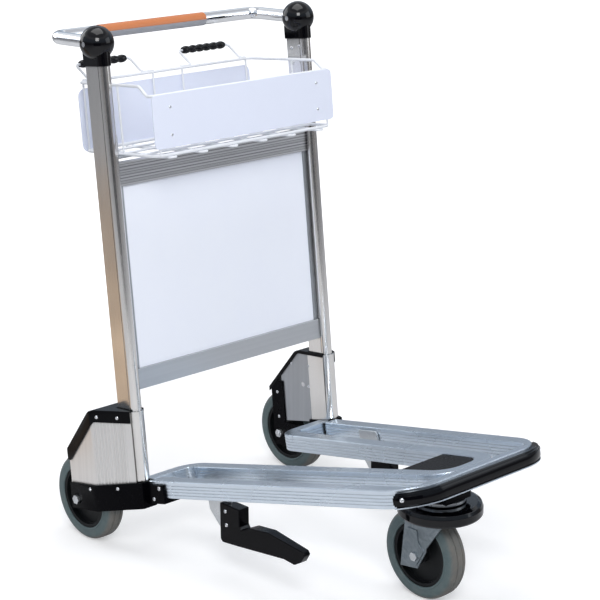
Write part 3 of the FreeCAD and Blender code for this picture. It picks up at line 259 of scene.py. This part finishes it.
# Castor
# Zinc-plated pressed fork on a swivel bearing, under a glossy black cap that turns with it.
# The fork's plating is dull blue-grey with cloudy spangle.
def plated_steel(name, bright, dull, roughness):
    """Zinc plating: soft blotches over a fine rolled grain."""
    material, tree, shader = bare_material(name)
    blotch = object_noise(tree, (60.0,) * 3, detail=6.0, roughness=0.65, distortion=0.8)
    grain = object_noise(tree, (900.0,) * 3, detail=2.0)
    tree.links.new(two_tone(tree, spread(tree, blotch.outputs["Fac"], 0, 1), bright, dull),
                   shader.inputs["Base Color"])
    shader.inputs["Metallic"].default_value = 1.0
    tree.links.new(spread(tree, blotch.outputs["Fac"], roughness - 0.06, roughness + 0.1),
                   shader.inputs["Roughness"])
    relief(tree, shader, grain.outputs["Fac"], 0.00004, 0.5)
    return material


fork_zinc = plated_steel("fork_zinc", (0.30, 0.34, 0.37), (0.20, 0.23, 0.25), roughness=0.42)
small_zinc = plated_steel("small_zinc", (0.72, 0.74, 0.76), (0.58, 0.60, 0.62), roughness=0.3)
bright_steel = plated_steel("bright_steel", (0.78, 0.79, 0.81), (0.64, 0.65, 0.67), roughness=0.2)
cap_black = coated("cap_black", (0.001, 0.001, 0.002),
                   roughness=0.09, cells=300.0, depth=0.00002, gloss=0.35)
soften(fork_zinc, 0.0005, "castor_fork")
soften(cap_black, 0.0016, "castor_guard", segments=3, turn_deg=12.0)
soften(small_zinc, 0.0005, "castor_axle")
finish(small_zinc, "castor_head")
finish(bright_steel, "swivel_bearing")


# Wheels
# Solid rubber tyres, moulded in a slightly squashed round section with two shallow tread grooves.
# The rubber is grey-green on its walls and road-brown on the tread; the hubs are plain black nylon.
def tyre_rubber():
    """Rubber whose tread is worn and dirty where the mesh's tread attribute says so."""
    material, tree, shader = bare_material("tyre_rubber")
    worn = tree.nodes.new("ShaderNodeAttribute")
    worn.attribute_name = "tread"
    dirt = object_noise(tree, (45.0,) * 3, detail=6.0, roughness=0.7)
    fine = object_noise(tree, (800.0,) * 3, detail=3.0)
    edge = maths(tree, "ADD", worn.outputs["Fac"], spread(tree, dirt.outputs["Fac"], -0.25, 0.25))
    cloud = spread(tree, dirt.outputs["Fac"], 0, 1)
    walls = two_tone(tree, cloud, (0.080, 0.118, 0.124), (0.120, 0.165, 0.170))
    tread = two_tone(tree, cloud, (0.125, 0.122, 0.112), (0.175, 0.165, 0.150))
    blend = tree.nodes.new("ShaderNodeMix")
    blend.data_type = "RGBA"
    tree.links.new(edge, blend.inputs["Factor"])
    tree.links.new(walls, blend.inputs["A"])
    tree.links.new(tread, blend.inputs["B"])
    tree.links.new(blend.outputs["Result"], shader.inputs["Base Color"])
    tree.links.new(spread(tree, dirt.outputs["Fac"], 0.45, 0.68), shader.inputs["Roughness"])
    relief(tree, shader, fine.outputs["Fac"], 0.00012, 0.7)
    return material


rubber = tyre_rubber()
tyre_segments = 144
tyre_bore_r = 0.063
bead_r = 0.0665
wall_dish = 0.0010
shoulder_r = 0.012
shoulder_steps = 8
groove_inset = 0.0145
groove_w = 0.0018
groove_depth = 0.0014
tread_start = 0.008
tread_blend = 0.006


def tyre(name, node, body):
    """Solid tyre turned from one section, with rounded shoulders and two grooves."""
    low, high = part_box(node)
    centre = (Vector(low) + Vector(high)) / 2
    half = (high[0] - low[0]) / 2
    outer = (high[2] - low[2]) / 2
    wall, wall_top = half - wall_dish, outer - shoulder_r
    section = [(half - 0.0015, tyre_bore_r), (half, tyre_bore_r + 0.0020), (half, bead_r),
               (half - 0.0012, bead_r + 0.0010), (wall, wall_top)]
    for step in range(1, shoulder_steps):
        turn = math.radians(90.0 * step / shoulder_steps)
        section.append((wall - shoulder_r * (1 - math.cos(turn)), wall_top + shoulder_r * math.sin(turn)))
    groove = half - groove_inset
    section += [(groove + groove_w, outer - 0.0002), (groove + groove_w / 2, outer - 0.0004),
                (groove + groove_w / 3, outer - groove_depth), (groove - groove_w / 3, outer - groove_depth),
                (groove - groove_w / 2, outer - 0.0002), (groove - groove_w, outer)]
    section = section + [(-x, r) for x, r in reversed(section)]
    mesh = bpy.data.meshes.new(name)
    corners, faces, tread = [], [], []
    count = len(section)
    for step in range(tyre_segments):
        turn = 2 * math.pi * step / tyre_segments
        for x, r in section:
            corners.append((centre.x + x, centre.y + r * math.cos(turn), centre.z + r * math.sin(turn)))
            tread.append(min(max((r - outer + tread_start) / tread_blend, 0.0), 1.0))
    for step in range(tyre_segments):
        after = (step + 1) % tyre_segments
        for i in range(count):
            j = (i + 1) % count
            faces.append((step * count + i, step * count + j, after * count + j, after * count + i))
    mesh.from_pydata(corners, [], faces)
    layer = mesh.attributes.new("tread", "FLOAT", "POINT")
    layer.data.foreach_set("value", tread)
    shape = bmesh.new()
    shape.from_mesh(mesh)
    bmesh.ops.recalc_face_normals(shape, faces=shape.faces)
    shape.to_mesh(mesh)
    shape.free()
    mesh.materials.append(rubber)
    mesh.polygons.foreach_set("use_smooth", [True] * len(mesh.polygons))
    mesh.set_sharp_from_angle(angle=math.radians(50))
    piece = placed(name, mesh)
    finish(rubber, node)
    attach(piece, body)
    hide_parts(node)


hub_nylon = coated("hub_nylon", (0.004, 0.005, 0.006), roughness=0.5, cells=700.0, depth=0.0001, gloss=0.25)
for wheel in ("left_wheel", "right_wheel", "castor_wheel"):
    tyre(wheel + "_moulded_tyre", wheel + "_tyre", wheel)
    soften(hub_nylon, 0.0008, wheel + "_hub", segments=3)
    finish(bright_steel, wheel + "_bearings")
soften(small_zinc, 0.0005, "rear_axles")


# Wheel housings
# Fluted aluminium skins and flat inner plates under a black moulded arch, held by a black steel band
# that carries the axle. Blocks of black plate bolt the deck's rear corners to the band.
housing_aluminium = drawn_aluminium("housing_aluminium", (0.90, 0.88, 0.86), (0.84, 0.82, 0.80),
                                    roughness=0.40, draw_axis=2)
plate_aluminium = drawn_aluminium("plate_aluminium", (0.47, 0.49, 0.52), (0.42, 0.44, 0.47),
                                  roughness=0.36, draw_axis=2)
arch_plastic = coated("arch_plastic", (0.001, 0.001, 0.002),
                      roughness=0.20, cells=650.0, depth=0.00004, gloss=0.11)
soften(housing_aluminium, 0.0002, "left_casing", "right_casing", segments=1)
soften(plate_aluminium, 0.0004, "inner_plates")
soften(arch_plastic, 0.0010, "arch_covers", segments=3)
soften(black_enamel, 0.0007, "axle_brackets", "corner_connectors")


# Posts
# Two leaning posts of aluminium extrusion with a half-round bead in front, standing in heavier sleeves.
# The flat sides are bright anodised, so they mirror the room along their length.
post_aluminium = drawn_aluminium("post_aluminium", (0.86, 0.84, 0.82), (0.80, 0.78, 0.76),
                                 roughness=0.17, draw_axis=2)
soften(post_aluminium, 0.0006, "left_upright", "right_upright")
soften(post_aluminium, 0.0009, "upright_sleeves")


# Cross members and display board
# A grooved extrusion under the basket, a plain box rail low down, and a white board in two channels
# between them. The board is bare laminated sheet.
# Painted shade: dark lines every 5.2 mm up the upper panel stand for the shade in its grooves.
cross_aluminium = drawn_aluminium("cross_aluminium", (0.60, 0.60, 0.62), (0.52, 0.52, 0.54),
                                  roughness=0.34, draw_axis=0, groove_shade_pitch=0.0052)
low_rail_aluminium = drawn_aluminium("low_rail_aluminium", (0.62, 0.64, 0.67), (0.57, 0.59, 0.62),
                                     roughness=0.30, draw_axis=0)
board_white = coated("board_white", (0.88, 0.91, 1.0),
                     roughness=0.42, cells=220.0, depth=0.00003, shift=0.01, gloss=0.3)
soften(cross_aluminium, 0.0005, "upper_cross_panel")
soften(low_rail_aluminium, 0.0008, "lower_cross_rail")
soften(board_white, 0.0004, "display_panel")
soften(plate_aluminium, 0.0003, "panel_channels")


# Hanging feet
# Zinc plates riveted inside the outer rail, each in a black moulded foot with a long forward toe.
# The feet steady the nose of the next trolley when they are stacked in a row.
soften(small_zinc, 0.0005, "hanger_plates")
soften(arch_plastic, 0.0032, "foot_hooks", segments=4)


# Basket
# Welded steel wire with two sheet panels, all white powder coat, on two zinc brackets.
# The coat is thick enough to round the panels' edges and fill the welds.
basket_white = coated("basket_white", (0.82, 0.84, 0.88),
                      roughness=0.38, cells=700.0, depth=0.00009, shift=0.01, gloss=0.4)
panel_white = coated("panel_white", (0.78, 0.82, 0.95),
                     roughness=0.42, cells=600.0, depth=0.00008, shift=0.01, gloss=0.3)
soften(panel_white, 0.0006, "basket_front_panel", "basket_rear_panel")
finish(basket_white, "basket_floor", "basket_rim")
soften(small_zinc, 0.0004, "basket_brackets")
finish(cap_black, "finger_grips")


# Knuckles
# Glossy black balls, each moulded in two halves and screwed together over the top of a post.
# A steel pin through each ball is what the handlebar turns on.
finish(cap_black, "knuckle_shells", "knuckle_covers")
finish(bright_steel, "pivot_pins")


# Handlebar
# Chromed steel tube bent to a wide bow, with a two-part plastic sleeve: a plain orange strip on top and
# a silver-grey half below.
def chrome_plate():
    """Bright chrome with hand haze and wipe marks along the tube."""
    material, tree, shader = bare_material("chrome_plate")
    haze = object_noise(tree, (20.0,) * 3, detail=5.0)
    wipe = object_noise(tree, (4.0, 300.0, 300.0), detail=2.0)
    tone = two_tone(tree, spread(tree, haze.outputs["Fac"], 0, 1), (0.90, 0.91, 0.93), (0.82, 0.83, 0.85))
    tree.links.new(tone, shader.inputs["Base Color"])
    shader.inputs["Metallic"].default_value = 1.0
    tree.links.new(spread(tree, haze.outputs["Fac"], 0.05, 0.13), shader.inputs["Roughness"])
    relief(tree, shader, wipe.outputs["Fac"], 0.00001, 0.3)
    return material


chrome = chrome_plate()
strip_orange = coated("strip_orange", (0.56, 0.19, 0.07),
                      roughness=0.36, cells=420.0, depth=0.00005, gloss=0.45)
sleeve_grey = coated("sleeve_grey", (0.40, 0.41, 0.44),
                     roughness=0.34, cells=420.0, depth=0.00005, metallic=0.35)
finish(chrome, "handlebar")
soften(strip_orange, 0.0003, "handle_strip")
soften(sleeve_grey, 0.0003, "handle_sleeve")


# Brake linkage
# Pressing the bar turns the cranks, slides a rod down inside each post and lifts a lever, which takes
# its rubber shoe off the tyre. The rest is plated steel on nylon guides.
shoe_rubber = coated("shoe_rubber", (0.010, 0.010, 0.011), roughness=0.6, cells=500.0, depth=0.0001)
finish(small_zinc, "handle_cranks", "left_brake_rod", "right_brake_rod", "left_brake_lever",
       "right_brake_lever")
finish(bright_steel, "left_rod_spring", "right_rod_spring")
finish(hub_nylon, "rod_guides")
finish(shoe_rubber, "left_brake_shoe", "right_brake_shoe")


# Screws and rivets
# Cross-recessed round-headed screws, and blind rivets with the dimple that the broken stem leaves.
# Each head sits where the frame has it, turned at random about its own axis.
def seat_mesh(name, rows):
    """One point for each fastener, from rows of seat, outward direction, head size and shank size."""
    mesh = bpy.data.meshes.new(name)
    mesh.from_pydata([row[0] for row in rows], [], [])
    for place, label in enumerate(("outward", "head_size", "shank_size"), 1):
        layer = mesh.attributes.new(label, "FLOAT_VECTOR", "POINT")
        layer.data.foreach_set("vector", [value for row in rows for value in row[place]])
    return mesh


def fastener_points(node):
    """Seats of a frame part's fasteners, measured from its separate lumps."""
    rim_share, shank_share = 0.985, 0.5
    shape = bmesh.new()
    shape.from_mesh(merged_copy(node))
    left = set(shape.verts)
    found = []
    while left:
        pile = [left.pop()]
        island = set(pile)
        while pile:
            for edge in pile.pop().link_edges:
                for vert in edge.verts:
                    if vert not in island:
                        island.add(vert)
                        pile.append(vert)
        left -= island
        faces = {face for vert in island for face in vert.link_faces}
        out = -max(faces, key=lambda face: face.calc_area()).normal
        middle = sum((vert.co for vert in island), Vector()) / len(island)
        reach = [(vert.co - middle - out * (vert.co - middle).dot(out)).length for vert in island]
        radius = max(reach)
        rim = [vert.co for vert, far in zip(island, reach) if far > radius * rim_share]
        seat = sum(rim, Vector()) / len(rim)
        along = [(vert.co - seat).dot(out) for vert in island]
        found.append((seat, out, Vector((radius, radius, max(along))),
                      Vector((radius * shank_share, radius * shank_share, -min(along)))))
    shape.free()
    return seat_mesh(node + "_seats", found)


def head_tree():
    """Geometry nodes that stand a head and a shank on every seat point."""
    tree = bpy.data.node_groups.new("fastener_heads", "GeometryNodeTree")
    tree.interface.new_socket(name="Seats", in_out="INPUT", socket_type="NodeSocketGeometry")
    for name in ("Slot Length", "Slot Width", "Dimple Radius", "Recess Depth"):
        tree.interface.new_socket(name=name, in_out="INPUT", socket_type="NodeSocketFloat")
    tree.interface.new_socket(name="Seed", in_out="INPUT", socket_type="NodeSocketInt")
    tree.interface.new_socket(name="Finish", in_out="INPUT", socket_type="NodeSocketMaterial")
    tree.interface.new_socket(name="Heads", in_out="OUTPUT", socket_type="NodeSocketGeometry")
    given = tree.nodes.new("NodeGroupInput")
    result = tree.nodes.new("NodeGroupOutput")
    link = tree.links.new

    def vector(*parts):
        node = tree.nodes.new("ShaderNodeCombineXYZ")
        for place, value in enumerate(parts):
            if isinstance(value, (int, float)):
                node.inputs[place].default_value = value
            else:
                link(value, node.inputs[place])
        return node.outputs[0]

    def block(size, move):
        cube = tree.nodes.new("GeometryNodeMeshCube")
        link(size, cube.inputs["Size"])
        place = tree.nodes.new("GeometryNodeTransform")
        link(cube.outputs["Mesh"], place.inputs["Geometry"])
        link(move, place.inputs["Translation"])
        return place.outputs["Geometry"]

    ball = tree.nodes.new("GeometryNodeMeshUVSphere")
    ball.inputs["Segments"].default_value = 28
    ball.inputs["Rings"].default_value = 14
    ball.inputs["Radius"].default_value = 1.0
    slot_z = maths(tree, "ADD", maths(tree, "SUBTRACT", 1.0, given.outputs["Recess Depth"]), 0.5)
    dimple = tree.nodes.new("GeometryNodeMeshCylinder")
    dimple.inputs["Vertices"].default_value = 16
    dimple.inputs["Depth"].default_value = 1.0
    link(given.outputs["Dimple Radius"], dimple.inputs["Radius"])
    dimple_place = tree.nodes.new("GeometryNodeTransform")
    link(dimple.outputs["Mesh"], dimple_place.inputs["Geometry"])
    link(vector(0.0, 0.0, slot_z), dimple_place.inputs["Translation"])
    carve = tree.nodes.new("GeometryNodeMeshBoolean")
    carve.operation = "DIFFERENCE"
    link(ball.outputs["Mesh"], carve.inputs["Mesh 1"])
    for cutter in (block(vector(3.0, 3.0, 2.0), vector(0.0, 0.0, -1.0)),
                   block(vector(given.outputs["Slot Length"], given.outputs["Slot Width"], 1.0),
                         vector(0.0, 0.0, slot_z)),
                   block(vector(given.outputs["Slot Width"], given.outputs["Slot Length"], 1.0),
                         vector(0.0, 0.0, slot_z)),
                   dimple_place.outputs["Geometry"]):
        link(cutter, carve.inputs["Mesh 2"])
    shank = tree.nodes.new("GeometryNodeMeshCylinder")
    shank.inputs["Vertices"].default_value = 16
    shank.inputs["Radius"].default_value = 1.0
    shank.inputs["Depth"].default_value = 1.0
    shank_place = tree.nodes.new("GeometryNodeTransform")
    shank_place.inputs["Translation"].default_value = (0.0, 0.0, -0.5)
    link(shank.outputs["Mesh"], shank_place.inputs["Geometry"])
    joined = tree.nodes.new("GeometryNodeJoinGeometry")
    for form, attribute in ((carve.outputs["Mesh"], "head_size"),
                            (shank_place.outputs["Geometry"], "shank_size")):
        direction = tree.nodes.new("GeometryNodeInputNamedAttribute")
        direction.data_type = "FLOAT_VECTOR"
        direction.inputs["Name"].default_value = "outward"
        aim = tree.nodes.new("FunctionNodeAlignRotationToVector")
        aim.axis = "Z"
        link(direction.outputs["Attribute"], aim.inputs["Vector"])
        angle = tree.nodes.new("FunctionNodeRandomValue")
        angle.data_type = "FLOAT"
        angle.inputs[3].default_value = math.tau
        link(given.outputs["Seed"], angle.inputs["Seed"])
        turn = tree.nodes.new("FunctionNodeAxisAngleToRotation")
        turn.inputs["Axis"].default_value = (0.0, 0.0, 1.0)
        link(angle.outputs[1], turn.inputs["Angle"])
        turned = tree.nodes.new("FunctionNodeRotateRotation")
        turned.rotation_space = "LOCAL"
        link(aim.outputs["Rotation"], turned.inputs["Rotation"])
        link(turn.outputs["Rotation"], turned.inputs["Rotate By"])
        scale = tree.nodes.new("GeometryNodeInputNamedAttribute")
        scale.data_type = "FLOAT_VECTOR"
        scale.inputs["Name"].default_value = attribute
        stand = tree.nodes.new("GeometryNodeInstanceOnPoints")
        link(given.outputs["Seats"], stand.inputs["Points"])
        link(form, stand.inputs["Instance"])
        link(turned.outputs["Rotation"], stand.inputs["Rotation"])
        link(scale.outputs["Attribute"], stand.inputs["Scale"])
        link(stand.outputs["Instances"], joined.inputs["Geometry"])
    real = tree.nodes.new("GeometryNodeRealizeInstances")
    link(joined.outputs["Geometry"], real.inputs["Geometry"])
    dress = tree.nodes.new("GeometryNodeSetMaterial")
    link(real.outputs["Geometry"], dress.inputs["Geometry"])
    link(given.outputs["Finish"], dress.inputs["Material"])
    link(dress.outputs["Geometry"], result.inputs["Heads"])
    return tree


def grown(name, seed_mesh, tree, values):
    """Object made by running a geometry node tree on a mesh once."""
    piece = placed(name, seed_mesh)
    nodes = piece.modifiers.new("grow", "NODES")
    nodes.node_group = tree
    for socket in tree.interface.items_tree:
        if socket.item_type == "SOCKET" and socket.name in values:
            nodes[socket.identifier] = values[socket.name]
    view = bpy.context.evaluated_depsgraph_get()
    view.update()
    mesh = bpy.data.meshes.new_from_object(piece.evaluated_get(view), depsgraph=view)
    piece.modifiers.remove(nodes)
    piece.data = mesh
    mesh.polygons.foreach_set("use_smooth", [True] * len(mesh.polygons))
    mesh.set_sharp_from_angle(angle=math.radians(35))
    return piece


def foot_seats():
    """Two screws on the outer face of each foot's box, by their place ahead of its back and under its top."""
    low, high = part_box("foot_hooks")
    head, shank = (0.004, 0.004, 0.0022), (0.002, 0.002, 0.003)
    rows = [((side * high[0], high[1] - ahead, high[2] - under), (side, 0, 0), head, shank)
            for side in (-1, 1) for ahead, under in ((0.016, 0.014), (0.019, 0.041))]
    return seat_mesh("foot_seats", rows)


heads = head_tree()
cross_recess = {"Slot Length": 1.05, "Slot Width": 0.22, "Dimple Radius": 0.2, "Recess Depth": 0.45,
                "Finish": bright_steel}
stem_dimple = {"Slot Length": 0.02, "Slot Width": 0.02, "Dimple Radius": 0.3, "Recess Depth": 0.3,
               "Finish": bright_steel}
for node, form, seed in (("screws", cross_recess, 3), ("rivets", stem_dimple, 5)):
    finish(bright_steel, node)
    fasteners = grown(node + "_headed", fastener_points(node), heads, {**form, "Seed": seed})
    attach(fasteners, body_of(node))
    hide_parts(node)
foot_screws = grown("foot_screws", foot_seats(), heads, {**cross_recess, "Seed": 8})
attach(foot_screws, body_of("foot_hooks"))


# Studio
# A plain pale floor, a key light from the front left, softer lights from the other sides and above, and cards
# that tint the metal's reflections. The camera stands ahead on the left, half a metre above the handle.
floor_mesh = bpy.data.meshes.new("floor")
floor_mesh.from_pydata([(-9, -9, 0), (9, -9, 0), (9, 9, 0), (-9, 9, 0)], [], [(0, 1, 2, 3)])
floor = placed("floor", floor_mesh)
floor_paint, floor_tree, floor_shader = bare_material("floor_paint")
floor_shader.inputs["Base Color"].default_value = (0.70, 0.70, 0.71, 1)
floor_shader.inputs["Roughness"].default_value = 0.8
floor_shader.inputs["Emission Color"].default_value = (1, 1, 1, 1)
ray_kind = floor_tree.nodes.new("ShaderNodeLightPath")
spot = floor_tree.nodes.new("ShaderNodeTexCoord")
reach = floor_tree.nodes.new("ShaderNodeVectorMath")
reach.operation = "LENGTH"
floor_tree.links.new(spot.outputs["Object"], reach.inputs[0])
glow = spread(floor_tree, reach.outputs["Value"], low=0.40, high=1.0, from_low=0.5, from_high=2.6)
lift = maths(floor_tree, "MULTIPLY", ray_kind.outputs["Is Camera Ray"], glow)
floor_tree.links.new(lift, floor_shader.inputs["Emission Strength"])
floor_mesh.materials.append(floor_paint)


def flag(name, corners, light, dark, glow=0.0):
    """Tinted studio card that only shows in the metal's reflections."""
    mesh = bpy.data.meshes.new(name)
    mesh.from_pydata(corners, [], [(0, 1, 2, 3)])
    card, tree, shader = bare_material(name)
    patches = object_noise(tree, (3.2, 3.2, 3.2), detail=3.0)
    tree.links.new(two_tone(tree, spread(tree, patches.outputs["Fac"], 0, 1, 0.4, 0.6), light, dark),
                   shader.inputs["Base Color"])
    shader.inputs["Roughness"].default_value = 0.9
    shader.inputs["Emission Color"].default_value = (*light, 1)
    shader.inputs["Emission Strength"].default_value = glow
    mesh.materials.append(card)
    piece = placed(name, mesh)
    piece.visible_camera = False
    piece.visible_shadow = False
    piece.visible_diffuse = False


flag("left_flag", [(-1.15, 0.75, 0.004), (-0.40, 0.75, 0.004), (-2.20, 3.1, 0.004), (-2.95, 3.1, 0.004)],
     (0.80, 0.60, 0.42), (0.20, 0.14, 0.10))
flag("far_card", [(-2.4, 3.2, 0.1), (-3.9, 5.2, 0.1), (-3.9, 5.2, 1.6), (-2.4, 3.2, 1.6)],
     (0.86, 0.93, 1.0), (0.80, 0.88, 0.96), 0.5)
flag("front_flag", [(-4.5, -2.2, 0), (-1.2, -4.4, 0), (-1.2, -4.4, 1.5), (-4.5, -2.2, 1.5)],
     (0.06, 0.06, 0.07), (0.03, 0.03, 0.03))

axle_y = (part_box("rear_axles")[0][1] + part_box("rear_axles")[1][1]) / 2
azimuth, elevation, roll = (math.radians(d) for d in (-43.2925, 16.143, -0.2659))
back = Vector((math.sin(azimuth) * math.cos(elevation), -math.cos(azimuth) * math.cos(elevation),
               math.sin(elevation)))
right = (-back).cross(Vector((0, 0, 1))).normalized()
up = right.cross(-back)
side = right * math.cos(roll) + up * math.sin(roll)
top = -right * math.sin(roll) + up * math.cos(roll)
lens = bpy.data.cameras.new("camera")
lens.lens = 111.41
lens.sensor_width = 36.0
camera = placed("camera", lens)
turn = Matrix((side, top, back)).transposed().to_4x4()
camera.matrix_world = Matrix.Translation(Vector((-2.3509, axle_y - 2.8146, 1.4966))) @ turn
bpy.context.scene.camera = camera


def softbox(name, place, aim, size, power, tint=(1, 1, 1)):
    """Rectangular studio light turned towards a point."""
    lamp = bpy.data.lights.new(name, "AREA")
    lamp.shape = "RECTANGLE"
    lamp.size, lamp.size_y = size
    lamp.energy = power
    lamp.color = tint
    light = placed(name, lamp)
    light.location = place
    light.rotation_euler = (Vector(aim) - Vector(place)).to_track_quat("-Z", "Y").to_euler()


softbox("key", (-2.2, -2.6, 3.0), (0, 0, 0.5), (1.5, 1.5), 86)
softbox("fill", (2.6, -2.6, 1.9), (0, 0, 0.5), (2.4, 2.0), 22, (0.94, 0.97, 1.0))
softbox("overhead", (0, 0.2, 3.4), (0, 0, 0.4), (2.2, 2.2), 40)
softbox("rim", (-0.8, 3.0, 1.8), (0, 0, 0.6), (2.2, 1.6), 22)

world = bpy.data.worlds.new("studio")
bpy.context.scene.world = world
world.use_nodes = True
sky = world.node_tree
sky.nodes.clear()
ray = sky.nodes.new("ShaderNodeLightPath")
seen = sky.nodes.new("ShaderNodeBackground")
seen.inputs["Color"].default_value = (1, 1, 1, 1)
lit = sky.nodes.new("ShaderNodeBackground")
lit.inputs["Color"].default_value = (0.90, 0.94, 1.0, 1)
lit.inputs["Strength"].default_value = 0.36
mirrored = sky.nodes.new("ShaderNodeBackground")
where = sky.nodes.new("ShaderNodeTexCoord")
parts = sky.nodes.new("ShaderNodeSeparateXYZ")
sky.links.new(where.outputs["Generated"], parts.inputs["Vector"])
bands = sky.nodes.new("ShaderNodeValToRGB")
bands.color_ramp.interpolation = "EASE"
stops = ((0.0, (0.16, 0.15, 0.15)), (0.08, (0.24, 0.25, 0.27)), (0.22, (0.44, 0.52, 0.62)),
         (0.40, (0.48, 0.56, 0.66)), (0.58, (0.85, 0.88, 0.92)), (0.75, (0.50, 0.52, 0.56)),
         (1.0, (0.75, 0.78, 0.82)))
for place, (height, colour) in enumerate(stops):
    stop = bands.color_ramp.elements[place] if place < 2 else bands.color_ramp.elements.new(height)
    stop.position = height
    stop.color = (*colour, 1)
sky.links.new(parts.outputs["Z"], bands.inputs["Fac"])
sky.links.new(bands.outputs["Color"], mirrored.inputs["Color"])
choose = sky.nodes.new("ShaderNodeMixShader")
reflect = sky.nodes.new("ShaderNodeMixShader")
out = sky.nodes.new("ShaderNodeOutputWorld")
sky.links.new(ray.outputs["Is Glossy Ray"], reflect.inputs["Fac"])
sky.links.new(lit.outputs["Background"], reflect.inputs[1])
sky.links.new(mirrored.outputs["Background"], reflect.inputs[2])
sky.links.new(ray.outputs["Is Camera Ray"], choose.inputs["Fac"])
sky.links.new(reflect.outputs["Shader"], choose.inputs[1])
sky.links.new(seen.outputs["Background"], choose.inputs[2])
sky.links.new(choose.outputs["Shader"], out.inputs["Surface"])
bpy.context.scene.view_settings.view_transform = "Standard"
